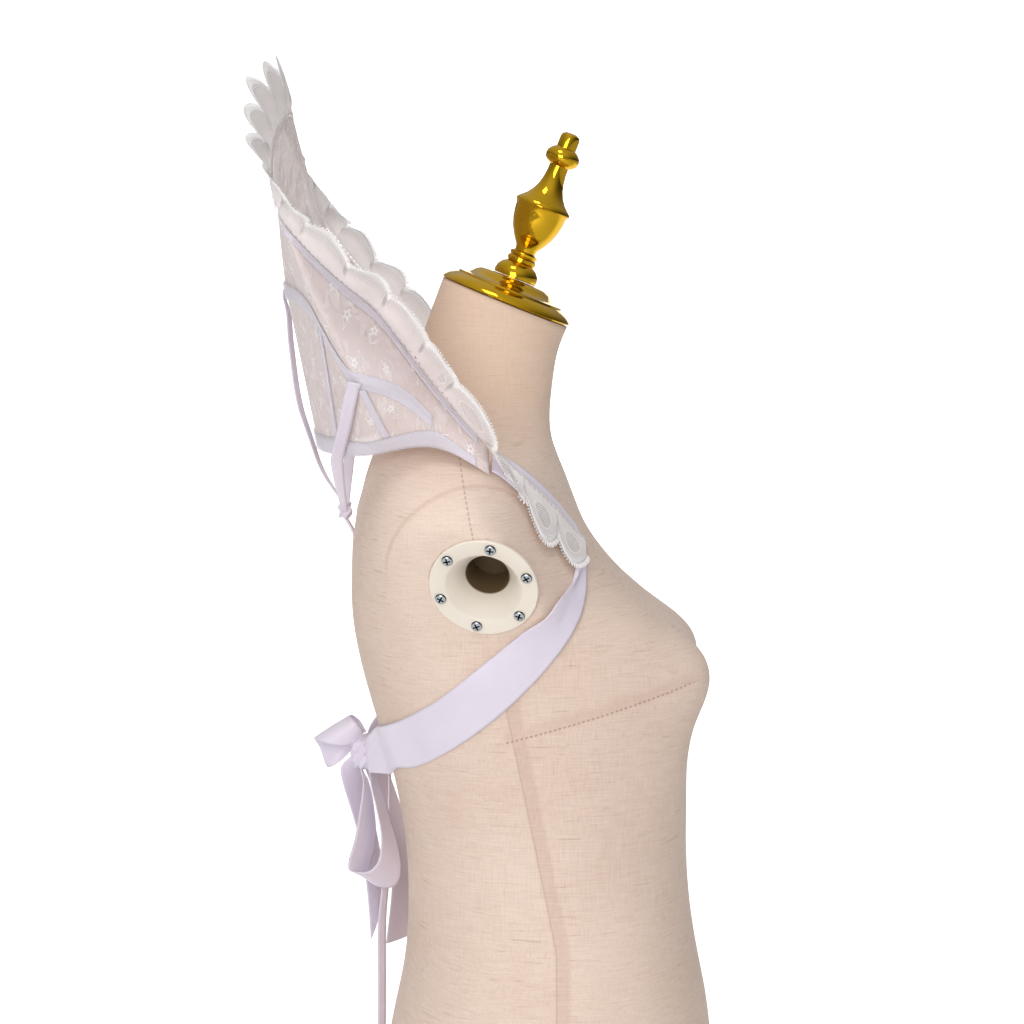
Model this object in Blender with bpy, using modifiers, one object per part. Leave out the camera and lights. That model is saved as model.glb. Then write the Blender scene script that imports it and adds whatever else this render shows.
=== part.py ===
"""A standing lace collar tied with satin ribbon, on a limbless dress form.

The form stands on the floor at the origin and faces -Y, so the wearer's right is -X.
Tables are in millimetres and give a place as out, back, up: how far it lies from the centre
plane towards one side, how far towards the wearer's back, and how high above the floor.
The right half of the garment is made from the tables, and the left half is the same mirrored.
"""

import math

import bmesh
import bpy
import numpy as np
from mathutils import Matrix, Vector
from mathutils.bvhtree import BVHTree

MM = 0.001
RIGHT = 1.0
LEFT = -1.0

# Cloth and ribbon sizes
CLOTH = 1.0 * MM
LAYER = 1.5 * MM  # from the middle of one layer to the middle of the next
SEAM = 0.4 * MM
HEM_BAND_WIDTH = 14 * MM
HOOP_BAND_WIDTH = 13 * MM
TOP_BAND_WIDTH = 8 * MM
BONE_WIDTH = 6 * MM
NARROW_RIBBON = 10 * MM
CHEST_RIBBON_SHOWS = 8 * MM
CHEST_RIBBON_UNDER = 20 * MM
STRAP_HEIGHT = 1.6 * MM  # middle of each layer above the form's cover
CHEST_RIBBON_HEIGHT = 3.2 * MM
CHEST_LACE_HEIGHT = 6.4 * MM

# The lace edging: where its scallops meet, along the top edge from the centre back in millimetres
LACE_NOTCHES = (20, 62, 105, 146, 186, 213, 240, 295, 337, 379, 412, 456, 500, 545, 588)
NOTCH_SHARE = 0.5
SCALLOP_STEPS = 6
LACE_ROWS = (0.0, 0.5, 1.0)
LACE_SEAM = 1.6 * MM
LACE_LIFT = 3.6 * MM
LACE_FOLDS_AT = (9.0, 10.6)
BONES = ((4.6, 3.9), (7.4, 8.4))  # station at the hoop and at the hem

# The form's socket plates
PLATE_CENTRE = (165.0, 48.4, 528.5)
PLATE_NORMAL = (0.893, 0.157, -0.42)
PLATE_RADIUS = 41 * MM
PLATE_PROUD = 2 * MM
SCREW_CIRCLE = 34.5 * MM
SCREW_HEAD_RADIUS = 4.2 * MM
SCREW_HEAD_HEIGHT = 1.8 * MM
SCREWS = 6
FIRST_SCREW = math.radians(13)
SEAT_GAP = 0.3 * MM

# The neck cap and its finial lean forward with the neck
CAP_CENTRE = (0.0, 31.8, 737.2)
CAP_LEAN = math.radians(21.8)

# Sections of the form from the neck down. Each has the place of its front and back point in the
# centre plane, how far back its widest point lies, its half width, and how square its front and
# its back are: 2 is an ellipse, and more is squarer.
FORM_SECTIONS = (
    # front_back, front_up, back_back, back_up, wide_back, half_width, square_front, square_back
    (-17.0, 715, 82, 755, 32.5, 53.0, 2.0, 2.0),
    (-9.0, 697, 89, 737, 40.0, 51.5, 2.0, 2.0),
    (-5.8, 675, 98, 711, 47.0, 50.5, 2.0, 2.0),
    (-3.6, 655, 108, 684, 54.0, 52.0, 2.0, 2.0),
    (-3.2, 642, 118, 660, 61.0, 57.0, 2.0, 2.0),
    (-3.8, 634, 125, 645, 67.0, 68.0, 1.9, 2.0),
    (-4.8, 629, 130, 633, 72.0, 90.0, 1.8, 2.1),
    (-5.5, 625, 134, 626, 75.0, 113.0, 1.8, 2.2),
    (-8.0, 618, 138, 618, 75.0, 132.0, 1.8, 2.2),
    (-11.0, 610, 141, 610, 75.0, 148.0, 1.8, 2.2),
    (-14.5, 602, 144, 602, 75.0, 160.0, 1.8, 2.2),
    (-19.0, 590, 147, 590, 75.0, 170.0, 1.8, 2.2),
    (-24.0, 577, 151, 577, 74.0, 176.0, 1.8, 2.2),
    (-30.0, 562, 153, 562, 72.0, 177.5, 1.85, 2.3),
    (-38.0, 548, 155, 548, 68.0, 175.0, 1.9, 2.4),
    (-53.0, 528, 156, 528, 60.0, 168.0, 2.0, 2.4),
    (-75.0, 504, 157, 504, 52.0, 158.0, 2.1, 2.4),
    (-93.0, 485, 156, 485, 47.0, 150.0, 2.3, 2.4),
    (-104.0, 468, 154, 468, 43.0, 146.0, 2.4, 2.3),
    (-109.0, 450, 151, 450, 38.0, 144.0, 2.4, 2.2),
    (-110.0, 430, 146, 430, 32.0, 141.0, 2.4, 2.2),
    (-108.0, 405, 139, 405, 24.0, 137.0, 2.3, 2.2),
    (-113.0, 370, 128, 370, 12.0, 132.0, 2.2, 2.2),
    (-115.0, 335, 121, 335, 6.0, 128.0, 2.2, 2.2),
    (-114.5, 300, 115, 300, 2.0, 125.5, 2.2, 2.2),
    (-117.0, 256, 112, 256, -1.0, 128.0, 2.2, 2.2),
    (-123.0, 216, 113, 216, -3.0, 137.0, 2.2, 2.2),
    (-130.0, 184, 118, 184, -4.0, 147.0, 2.2, 2.2),
    (-135.0, 155, 125, 155, -4.0, 156.0, 2.2, 2.2),
    (-138.0, 115, 132, 115, -3.0, 163.5, 2.2, 2.2),
    (-139.0, 60, 136, 60, -2.0, 168.0, 2.2, 2.2),
    (-137.5, 6, 136, 6, -1.0, 167.5, 2.2, 2.2),
    (-133.0, 0, 132, 0, -1.0, 163.0, 2.2, 2.2),
)
FORM_STEPS_ROUND = 40
BUST = {"out": 85.0, "up": 449.0, "reach": 33.0, "wide": 42.0, "above": 50.0, "below": 78.0}
SPINE = {"deep": 7.0, "wide": 20.0, "low": 300.0, "high": 600.0, "fade": 45.0}

# Stations of the collar from the centre back to the end of the panel near the collarbone
COLLAR_STATIONS = (
    # hem out, back, up, hoop out, back, up, top out, back, up
    (0, 182, 621, 0, 205.0, 746, 0, 202.0, 881),
    (22, 180, 620, 34, 204.0, 746, 44, 203.0, 874),
    (42, 175, 619.5, 66, 199.0, 745, 88, 204.0, 864),
    (60, 167, 619.5, 97, 188.0, 742, 130, 203.0, 849),
    (75, 158, 620, 122, 176.0, 733, 166, 200.0, 829),
    (86, 150, 620, 140, 166.0, 718, 189, 195.0, 807),
    (95, 142, 621, 152, 155.0, 700, 191, 186.0, 789),
    (103, 134, 622.5, 159, 143.0, 684, 172, 170.0, 769),
    (111, 125, 625, 158, 130.0, 679, 150, 150.0, 749),
    (118, 113, 628, 152, 115.0, 673.5, 130, 130.0, 731),
    (125, 100, 630.5, 145, 101.0, 664, 117, 110.0, 704),
    (130, 86, 631, 139, 87.0, 650, 113, 90.0, 677),
    (134, 72, 627, 137, 73.0, 639, 116, 73.0, 657),
    (136, 60, 620, 136, 60.5, 629, 121, 60.0, 643),
    (137, 49, 613, 135, 49.5, 621, 122, 49.0, 632),
)
# The top edge runs on from the last station, down the chest to the tip
TOP_EDGE_ON_CHEST = (
    # out, back, up
    (118, 36, 622),
    (113, 17, 601),
    (93, -4, 579),
    (66, -26, 548),
)
# How far the lace reaches from the top edge, and how deep its waves are, at the same stations
LACE_REACH = (
    # out, back, up, wave
    (0, 8, 43, 4.0),
    (9, 12, 41, 4.0),
    (16, 18, 35, 5.0),
    (33, 13, 20, 5.0),
    (36, 9, 18, 5.0),
    (38, -6, 14, 5.0),
    (37, -12, 13, 5.0),
    (32, -12, 22, 5.5),
    (33, -9, 20, 5.5),
    (32, -13, 22, 5.0),
    (32, -14, 20, 5.0),
    (34, -15, 15, 5.0),
    (34, -20, 7, 4.0),
    (33, -21, -6, 2.0),
    (18, -14, -20, 1.0),
    (17, -11, -23, 0.6),
    (22, 0, -33, 0.6),
    (29, 2, -32, 0.6),
    (33, 4, -22, 0.6),
)

# Both edges of the strap, from the mitred tip of the collar round to the bow
STRAP_EDGES = (
    # top edge out, back, up, lower edge out, back, up
    (134.7, -13.4, 522, 77.4, -27.8, 545),
    (144.6, -8.7, 519, 104.0, -27.8, 530),
    (152.0, 0.5, 512.5, 124.8, -25.7, 512),
    (152.0, 13.8, 500, 140.1, -14.8, 487),
    (146.4, 28.7, 485, 143.1, 3.9, 462),
    (143.6, 57.2, 461, 141.7, 28.7, 436),
    (129.1, 86.3, 436, 133.9, 57.5, 411),
    (97.9, 113.6, 416, 101.2, 96.7, 381.5),
    (66, 134, 403, 70, 122, 370),
    (36, 144, 395, 38, 136, 357),
)
STRAP_AT_BOW = (
    # top edge out, back, up, lower edge out, back, up
    (22, 145, 387, 23, 142, 358),
    (11.0, 146, 378, 11.0, 145, 362),
)

# Both edges of the narrow ribbons, from the hoop to the knot below the hem
SIDE_TIE_EDGES = (
    (163, 147.5, 681, 163, 137.5, 679),
    (150, 150.5, 672, 151, 141.0, 670),
    (112, 159.0, 642, 113, 149.0, 642),
    (84, 166.0, 620, 85, 156.0, 620),
    (70, 167.0, 609, 71, 157.5, 609),
    (30, 165.5, 583, 31, 158.5, 583),
    (5.6, 163.5, 568, 5.6, 159.0, 568),
)
CENTRE_TIE_EDGES = (
    (-5, 208.4, 745, 5, 209.4, 745),
    (-5, 208.0, 738, 5, 209.2, 738),
    (-5, 204.6, 727, 5, 206.8, 727),
    (-5, 203.2, 715, 5, 206.0, 715),
    (-5, 202.0, 700, 5, 205.0, 700),
    (-5, 196.5, 657, 5, 199.5, 657),
    (-5, 188.0, 628, 5, 190.5, 628),
    (-4, 178.0, 599, 4, 180.0, 599),
    (-2.5, 163.6, 575.6, 2.5, 164.2, 575.6),
)
TIE_KNOT = {"centre": (0, 161.5, 568), "half": (5.7, 4.8, 6.4)}
LONG_TAIL_EDGES = (
    (1.6, 161.5, 560.6, 4.2, 160.0, 560.9),
    (2.2, 155.0, 548, 9.5, 153.5, 548),
    (1.5, 150.0, 530, 11.0, 150.5, 530),
    (1.5, 150.0, 490, 11.0, 150.5, 490),
    (1.5, 147.0, 450, 11.0, 147.5, 450),
    (1.5, 138.0, 410, 11.0, 138.5, 410),
    (1.5, 128.0, 370, 11.0, 128.5, 370),
    (1.5, 126.0, 330, 10.5, 127.5, 330),
    (2.0, 128.0, 265, 9.5, 132.5, 265),
    (2.5, 131.0, 230, 10.0, 136.5, 230),
    (3.0, 131.5, 176, 11.0, 137.0, 176),
    (3.0, 132.0, 120, 11.0, 137.5, 120),
    (3.0, 133.0, 70, 11.0, 138.5, 70),
)

# The bow at the back of the waistline
BOW_KNOT = {"centre": (0, 147.0, 370), "half": (11.0, 9.0, 11.5)}
KNOT_CLEARANCE = 0.75 * MM
HANGING_LOOP_EDGES = (
    (7.0, 149.5, 361.5, 2.0, 149.5, 360.5),
    (24.0, 147.0, 347.0, 6.0, 142.0, 339.0),
    (36.0, 150.0, 324.0, 11.0, 138.0, 309.0),
    (41.0, 153.0, 307.0, 14.0, 139.5, 291.0),
    (43.0, 157.5, 292.0, 17.0, 143.5, 276.0),
    (42.0, 158.0, 283.0, 18.5, 141.5, 266.0),
    (40.0, 151.0, 279.5, 17.0, 131.5, 261.0),
    (38.0, 141.0, 280.5, 15.5, 122.0, 262.5),
    (37.0, 134.0, 289.0, 15.0, 117.5, 272.0),
    (35.0, 132.0, 307.0, 14.5, 118.5, 289.0),
    (31.0, 135.5, 327.0, 13.0, 125.0, 314.0),
    (21.0, 141.0, 347.0, 8.0, 133.5, 339.0),
    (7.0, 143.5, 361.5, 2.0, 143.0, 361.0),
)
RAISED_LOOP_EDGES = (
    (3.0, 147.5, 383.5, 4.5, 155.5, 377.5),
    (8.0, 149.5, 390.5, 9.5, 165.0, 377.0),
    (9.5, 153.0, 395.5, 10.5, 176.0, 378.5),
    (6.5, 157.0, 399.0, 7.0, 185.0, 380.5),
    (0.0, 159.0, 400.0, 0.5, 188.5, 381.0),
    (-6.5, 156.5, 398.5, -7.0, 184.0, 371.0),
    (-10.0, 152.0, 394.0, -11.0, 178.5, 354.5),
    (-8.0, 148.5, 389.0, -9.5, 166.5, 361.0),
    (-4.0, 146.0, 383.8, -5.5, 156.5, 373.0),
)
NEAR_TAIL_EDGES = (
    (0.0, 157.5, 367.0, -4.0, 154.5, 360.5),
    (3.5, 166.5, 358.0, -11.0, 151.0, 352.0),
    (5.0, 164.5, 344.0, -19.0, 147.0, 336.0),
    (4.0, 157.5, 320.0, -22.0, 142.0, 310.0),
    (2.0, 151.5, 296.0, -24.0, 138.0, 288.0),
    (0.0, 147.5, 270.0, -26.0, 134.0, 264.0),
    (0.0, 144.5, 238.0, -25.0, 133.5, 236.0),
    (0.0, 143.0, 213.0, -24.0, 133.5, 215.0),
)
FAR_TAIL_EDGES = (
    (-3.0, 149.5, 360.5, -5.5, 146.5, 361.0),
    (-18.0, 146.0, 346.0, -33.0, 133.0, 350.0),
    (-28.0, 137.0, 318.0, -51.0, 124.0, 322.0),
    (-33.0, 131.0, 290.0, -61.0, 116.0, 292.0),
    (-36.0, 127.0, 262.0, -65.0, 110.0, 262.0),
    (-37.0, 128.5, 232.0, -66.0, 110.0, 232.0),
    (-37.0, 132.5, 198.0, -66.0, 114.0, 197.0),
)
V_CUT = 15 * MM

COLOURS = {
    # red, green, blue, roughness, metallic
    "linen": (0.78, 0.66, 0.54, 0.85, 0.0),
    "gold": (0.83, 0.58, 0.10, 0.18, 1.0),
    "socket_plate": (0.86, 0.80, 0.66, 0.45, 0.0),
    "steel": (0.62, 0.62, 0.62, 0.3, 1.0),
    "organza": (0.80, 0.76, 0.75, 0.7, 0.0),
    "lace": (0.88, 0.85, 0.82, 0.75, 0.0),
    "satin": (0.82, 0.79, 0.87, 0.35, 0.0),
}


def empty_file():
    for old in list(bpy.data.objects):
        bpy.data.objects.remove(old)


def new_collection(name):
    made = bpy.data.collections.new(name)
    bpy.context.scene.collection.children.link(made)
    return made


def material(name):
    made = bpy.data.materials.get(name)
    if made:
        return made
    red, green, blue, roughness, metallic = COLOURS[name]
    made = bpy.data.materials.new(name)
    made.use_nodes = True
    shader = made.node_tree.nodes["Principled BSDF"]
    shader.inputs["Base Color"].default_value = (red, green, blue, 1.0)
    shader.inputs["Roughness"].default_value = roughness
    shader.inputs["Metallic"].default_value = metallic
    return made


def add_object(name, mesh, finish, home):
    made = bpy.data.objects.new(name, mesh)
    mesh.materials.append(material(finish))
    home.objects.link(made)
    return made


def along(rows, u):
    """A smooth curve through the rows, at u rows from the first."""
    rows = np.asarray(rows, float)
    last = len(rows) - 1
    i = int(min(max(math.floor(u), 0), last - 1))
    f = u - i
    p0, p1, p2, p3 = rows[max(i - 1, 0)], rows[i], rows[i + 1], rows[min(i + 2, last)]
    return 0.5 * (
        2 * p1 + (p2 - p0) * f + (2 * p0 - 5 * p1 + 4 * p2 - p3) * f**2 + (3 * p1 - p0 - 3 * p2 + p3) * f**3
    )


def smoothstep(low, high, value):
    f = min(max((value - low) / (high - low), 0.0), 1.0)
    return f * f * (3 - 2 * f)


def place(out, back, up, side=RIGHT):
    return Vector((-side * out * MM, back * MM, up * MM))


def grid_mesh(name, rows, closed=False):
    """A mesh through a grid of points. A closed grid joins its last column to its first."""
    count, wide = len(rows), len(rows[0])
    points = [p for row in rows for p in row]
    faces = []
    for i in range(count - 1):
        for j in range(wide if closed else wide - 1):
            a, b = i * wide + j, i * wide + (j + 1) % wide
            faces.append((a, b, b + wide, a + wide))
    mesh = bpy.data.meshes.new(name)
    mesh.from_pydata(points, [], faces)
    mesh.validate()
    return mesh


def smooth_shading(mesh, angle=40):
    mesh.shade_smooth()
    mesh.set_sharp_from_angle(angle=math.radians(angle))


def cloth_object(name, rows, finish, home, thickness=CLOTH):
    """A wall of cloth on both sides of a grid of points."""
    mesh = grid_mesh(name, rows)
    smooth_shading(mesh)
    made = add_object(name, mesh, finish, home)
    wall = made.modifiers.new("Thickness", "SOLIDIFY")
    wall.thickness = thickness
    wall.offset = 0.0
    wall.use_even_offset = False
    return made


def turned_object(name, profile, steps, finish, home):
    """A profile of radius and height, turned about Z. It runs down the outer side."""
    mesh = bpy.data.meshes.new(name)
    points = [(radius * MM, 0.0, height * MM) for radius, height in profile]
    mesh.from_pydata(points, [(i, i + 1) for i in range(len(points) - 1)], [])
    made = add_object(name, mesh, finish, home)
    screw = made.modifiers.new("Turn", "SCREW")
    screw.axis = "Z"
    screw.steps = screw.render_steps = steps
    screw.use_merge_vertices = True
    screw.merge_threshold = 0.00005
    screw.use_smooth_shade = True
    return made


def ribbon_rows(edges, side, steps, columns=3, crown=0.0):
    """Points across a ribbon whose two edges are given, with its middle raised by the crown."""
    rows = []
    count = (len(edges) - 1) * steps
    for i in range(count + 1):
        row = along(edges, i / steps)
        first, second = place(*row[:3], side), place(*row[3:], side)
        onward = along(edges, min(i / steps + 0.1, len(edges) - 1)) - along(edges, max(i / steps - 0.1, 0))
        travel = place(*(onward[:3] + onward[3:]), side)
        lift = travel.cross(second - first).normalized() * crown
        row_points = []
        for j in range(columns):
            f = j / (columns - 1)
            row_points.append(first.lerp(second, f) + lift * math.sin(math.pi * f))
        rows.append(row_points)
    return rows


# The dress form


def form_point(u, angle, side=RIGHT):
    """A point of the form's cover, u sections from the top and turned from front to back."""
    front_back, front_up, back_back, back_up, wide_back, half, square_front, square_back = along(FORM_SECTIONS, u)
    turn_share = math.cos(angle)
    if turn_share >= 0:
        power, reach = 2 / square_front, (front_back - wide_back)
        depth = reach * turn_share**power
    else:
        power, reach = 2 / square_back, (back_back - wide_back)
        depth = reach * (-turn_share) ** power
    out = half * abs(math.sin(angle)) ** power
    back = wide_back + depth
    slope = (back_up - front_up) / (back_back - front_back)
    up = front_up + (back - front_back) * slope
    if turn_share > 0:
        high = BUST["above"] if up > BUST["up"] else BUST["below"]
        bust = math.exp(-(((out - BUST["out"]) / BUST["wide"]) ** 2) - ((up - BUST["up"]) / high) ** 2)
        back -= BUST["reach"] * bust * smoothstep(0.0, 0.35, turn_share)
    elif up < SPINE["high"] + SPINE["fade"]:
        groove = SPINE["deep"] * math.exp(-((out / SPINE["wide"]) ** 2))
        groove *= smoothstep(SPINE["low"] - SPINE["fade"], SPINE["low"] + SPINE["fade"], up)
        groove *= 1 - smoothstep(SPINE["high"] - SPINE["fade"], SPINE["high"] + SPINE["fade"], up)
        back -= groove
    return flatten_for_plate(np.array((out, back, up)), side)


def flatten_for_plate(point, side):
    """Presses the cover flat under a socket plate and eases it back to its curve round the plate."""
    normal = np.array(PLATE_NORMAL) / np.linalg.norm(PLATE_NORMAL)
    away = point - np.array(PLATE_CENTRE)
    height = float(away @ normal)
    radius = float(np.linalg.norm(away - height * normal))
    hold = (1 - smoothstep(42.0, 72.0, radius)) * (1 - smoothstep(22.0, 62.0, abs(height)))
    target = -PLATE_PROUD / MM
    point = point + normal * (target - height) * hold
    return place(*point, side)


def form_rows():
    last = len(FORM_SECTIONS) - 1
    levels = list(range(12)) + [12 + 0.5 * i for i in range(18)] + list(range(21, last + 1))
    half_turn = FORM_STEPS_ROUND // 2
    rows = []
    for u in levels:
        right = [form_point(u, math.pi * k / half_turn, RIGHT) for k in range(half_turn + 1)]
        left = [form_point(u, math.pi * k / half_turn, LEFT) for k in range(half_turn - 1, 0, -1)]
        for end in (right[0], right[-1]):
            end.x = 0.0
        rows.append(right + left)
    return rows


def make_form(home):
    mesh = grid_mesh("form_torso", form_rows(), closed=True)
    bm = bmesh.new()
    bm.from_mesh(mesh)
    bmesh.ops.holes_fill(bm, edges=[e for e in bm.edges if e.is_boundary], sides=0)
    bmesh.ops.recalc_face_normals(bm, faces=bm.faces)
    bm.to_mesh(mesh)
    bm.free()
    smooth_shading(mesh)
    return add_object("form_torso", mesh, "linen", home)


def plate_frame(side):
    """Where a socket plate sits: its Z runs out of the form, and its Y runs up the form."""
    normal = Vector((-side * PLATE_NORMAL[0], PLATE_NORMAL[1], PLATE_NORMAL[2])).normalized()
    across = Vector((0, 0, 1)).cross(normal).normalized()
    up = normal.cross(across)
    frame = Matrix((across, up, normal)).transposed().to_4x4()
    frame.translation = place(*PLATE_CENTRE, side)
    return frame


PLATE_PROFILE = (
    # radius, height: up the inside of the socket, over the flange and down the outside
    (0, -45),
    (16, -45),
    (16, -20),
    (28, -1.2),
    (29.5, 0),
    (40.3, 0),
    (41, -0.7),
    (41, -3),
    (31.5, -3),
    (19, -22),
    (19, -48),
    (0, -48),
)


def make_socket_plate(name, side, torso, home, cutters):
    frame = plate_frame(side)
    plate = turned_object(name, PLATE_PROFILE, 24, "socket_plate", home)
    plate.matrix_world = frame
    gap = 1.2 * SEAT_GAP / MM
    pocket = [(0, 25), (41 + gap, 25), (41 + gap, -3 - gap), (31.7 + gap, -3 - gap)]
    pocket += [(19 + gap, -22 - gap), (19 + gap, -48 - gap), (0, -48 - gap)]
    cutter = turned_object(name + "_pocket", pocket, 24, "linen", cutters)
    cutter.matrix_world = frame
    cutter.hide_render = True
    cutter.display_type = "WIRE"
    cut = torso.modifiers.new(name + "_pocket", "BOOLEAN")
    cut.operation = "DIFFERENCE"
    cut.solver = "EXACT"
    cut.object = cutter
    return frame


def screw_head_mesh():
    bm = bmesh.new()
    bmesh.ops.create_cone(
        bm,
        cap_ends=True,
        segments=10,
        radius1=SCREW_HEAD_RADIUS,
        radius2=0.62 * SCREW_HEAD_RADIUS,
        depth=SCREW_HEAD_HEIGHT,
        matrix=Matrix.Translation((0, 0, SCREW_HEAD_HEIGHT / 2)),
    )
    mesh = bpy.data.meshes.new("screw_head")
    bm.to_mesh(mesh)
    bm.free()
    mesh.shade_smooth()
    mesh.set_sharp_from_angle(angle=math.radians(50))
    mesh.materials.append(material("steel"))
    return mesh


def make_screws(word, frame, head, home):
    for k in range(SCREWS):
        turn = FIRST_SCREW + 2 * math.pi * k / SCREWS
        local = Vector((SCREW_CIRCLE * math.sin(turn), SCREW_CIRCLE * math.cos(turn), 1.1 * SEAT_GAP))
        screw = bpy.data.objects.new(f"screw_{word}_{k + 1}", head)
        home.objects.link(screw)
        screw.matrix_world = frame @ Matrix.Translation(local)


CAP_PROFILE = (
    # radius, height above the cap's lower edge
    (0, 17.6),
    (25, 17.4),
    (29, 16.4),
    (32, 14.2),
    (35.2, 11.2),
    (40, 9.8),
    (44, 9.0),
    (44.4, 7.6),
    (47.5, 6.2),
    (51.5, 3.6),
    (54.4, 0.4),
    (54.6, -0.6),
    (54.0, -1.4),
    (0, -1.4),
)
FINIAL_PROFILE = (
    (0, 140.4),
    (4.6, 140.2),
    (7.2, 138.6),
    (8.0, 136.0),
    (8.0, 127.8),
    (10.6, 126.2),
    (13.2, 123.2),
    (14.0, 120.0),
    (13.2, 116.6),
    (10.6, 114.0),
    (7.9, 112.6),
    (7.9, 108.0),
    (8.8, 101.0),
    (10.4, 95.0),
    (13.0, 89.6),
    (16.4, 85.2),
    (20.4, 81.6),
    (22.6, 79.4),
    (22.8, 77.6),
    (21.3, 75.6),
    (20.8, 70.0),
    (19.6, 63.6),
    (17.2, 56.6),
    (13.6, 50.0),
    (8.9, 43.6),
    (8.4, 40.2),
    (11.3, 38.6),
    (11.3, 36.8),
    (10.4, 35.6),
    (11.8, 34.2),
    (11.8, 31.8),
    (10.6, 30.4),
    (14.4, 28.2),
    (17.2, 24.4),
    (18.0, 20.4),
    (17.6, 17.9),
    (0, 17.9),
)


def make_neck_cap(home):
    for name, profile, steps in (("neck_cap", CAP_PROFILE, 28), ("finial", FINIAL_PROFILE, 14)):
        piece = turned_object(name, profile, steps, "gold", home)
        piece.location = place(*CAP_CENTRE)
        piece.rotation_euler = (CAP_LEAN, 0, 0)


# The collar's panel and the bands on it


def both_sides(rows, outward_columns):
    """The half table mirrored to the left, so that the middle row is the centre back."""
    rows = np.asarray(rows, float)
    flipped = rows[:0:-1].copy()
    flipped[:, outward_columns] *= -1
    return np.vstack([flipped, rows])


WHOLE_COLLAR = both_sides(COLLAR_STATIONS, [0, 3, 6])
WHOLE_TOP = both_sides(
    [row[6:] for row in COLLAR_STATIONS] + [list(row) for row in TOP_EDGE_ON_CHEST], [0]
)
WHOLE_REACH = both_sides(LACE_REACH, [0])
COLLAR_MIDDLE = len(COLLAR_STATIONS) - 1
TOP_MIDDLE = COLLAR_MIDDLE + len(TOP_EDGE_ON_CHEST)
HOOP_ROW = 2
PANEL_ROWS = 7
COLLAR_AXIS_BACK = 60.0
PANEL_STEP = 0.5
PANEL_END = 14.0
HOOP_BAND_ENDS = 11.2


def panel_point(u, row):
    """A point of the panel, u stations from the centre back, right positive, on a row from the hem up.
    The rows below the hoop run straight from the hem, and those above it swell a little."""
    station = along(WHOLE_COLLAR, u + COLLAR_MIDDLE)
    hem, hoop, top = station[:3], station[3:6], station[6:]
    if row <= HOOP_ROW:
        point = hem + (hoop - hem) * row / HOOP_ROW
    else:
        f = (row - HOOP_ROW) / (PANEL_ROWS - 1 - HOOP_ROW)
        point = hoop + (top - hoop) * f
        swell = 4.0 * math.sin(math.pi * f) * min(1.0, np.linalg.norm(top - hoop) / 60)
        outward = np.array((point[0], point[1] - COLLAR_AXIS_BACK, 0.0))
        point = point + outward / np.linalg.norm(outward) * swell
    return point


def panel_surface(u, row):
    """A point of the panel and the way out of the collar there, in metres."""
    here = place(*panel_point(u, row))
    step_u = place(*panel_point(u + 0.2, row)) - place(*panel_point(u - 0.2, row))
    low, high = max(row - 0.3, 0), min(row + 0.3, PANEL_ROWS - 1)
    step_row = place(*panel_point(u, high)) - place(*panel_point(u, low))
    return here, step_u.cross(step_row).normalized()


def stations(first, last, step):
    count = max(1, round((last - first) / step))
    return [first + (last - first) * i / count for i in range(count + 1)]


def panel_stations():
    """Stations across the whole panel, closer together where it turns the upper corners."""
    half = stations(0, 4.5, PANEL_STEP) + stations(4.75, 7.25, PANEL_STEP / 2) + stations(7.5, PANEL_END, PANEL_STEP)
    return [-u for u in half[:0:-1]] + half


PANEL_STATIONS = panel_stations()


def stand_height(u):
    """How long the panel is between its hem and its hoop."""
    return (place(*panel_point(u, HOOP_ROW)) - place(*panel_point(u, 0))).length


def make_panel(home):
    rows = [[panel_surface(u, r)[0] for r in range(PANEL_ROWS)] for u in PANEL_STATIONS]
    return cloth_object("panel", rows, "organza", home)


def row_at(u, start, distance):
    """The row that lies a distance above the start row, measured up the panel."""
    direction = 1 if distance > 0 else -1
    row, here, left = start, place(*panel_point(u, start)), abs(distance)
    while left > 0:
        ahead = row + direction * 0.05
        there = place(*panel_point(u, ahead))
        travelled = (there - here).length
        if travelled > left:
            return row + direction * 0.05 * left / travelled
        left -= travelled
        row, here = ahead, there
    return row


def band_rows(us, spans, layer):
    """Points of a band that lies outside the panel, between two distances from a row."""
    rows = []
    for u in us:
        points = []
        for row in spans(u):
            here, normal = panel_surface(u, row)
            points.append(here + normal * layer)
        rows.append(points)
    return rows


def make_bands(home):
    inner = PANEL_STATIONS[1:-1]
    top = PANEL_ROWS - 1

    def hem_rows(u):
        return [0.0, row_at(u, 0, min(HEM_BAND_WIDTH, 0.8 * stand_height(u)))]

    def hoop_rows(u):
        half = HOOP_BAND_WIDTH / 2 * smoothstep(13.2, 9.5, abs(u)) if abs(u) > 9.5 else HOOP_BAND_WIDTH / 2
        half = max(half, 2.5 * MM)
        return [row_at(u, HOOP_ROW, -half), HOOP_ROW, row_at(u, HOOP_ROW, half)]

    def top_rows(u):
        return [row_at(u, top, -TOP_BAND_WIDTH), top]

    hoop_us = [u for u in inner if abs(u) < HOOP_BAND_ENDS]
    cloth_object("hem_band", band_rows(inner, hem_rows, LAYER), "satin", home)
    cloth_object("hoop_band", band_rows(hoop_us, hoop_rows, 1.2 * LAYER), "satin", home)
    cloth_object("top_band", band_rows(inner, top_rows, 1.1 * LAYER), "satin", home)


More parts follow.
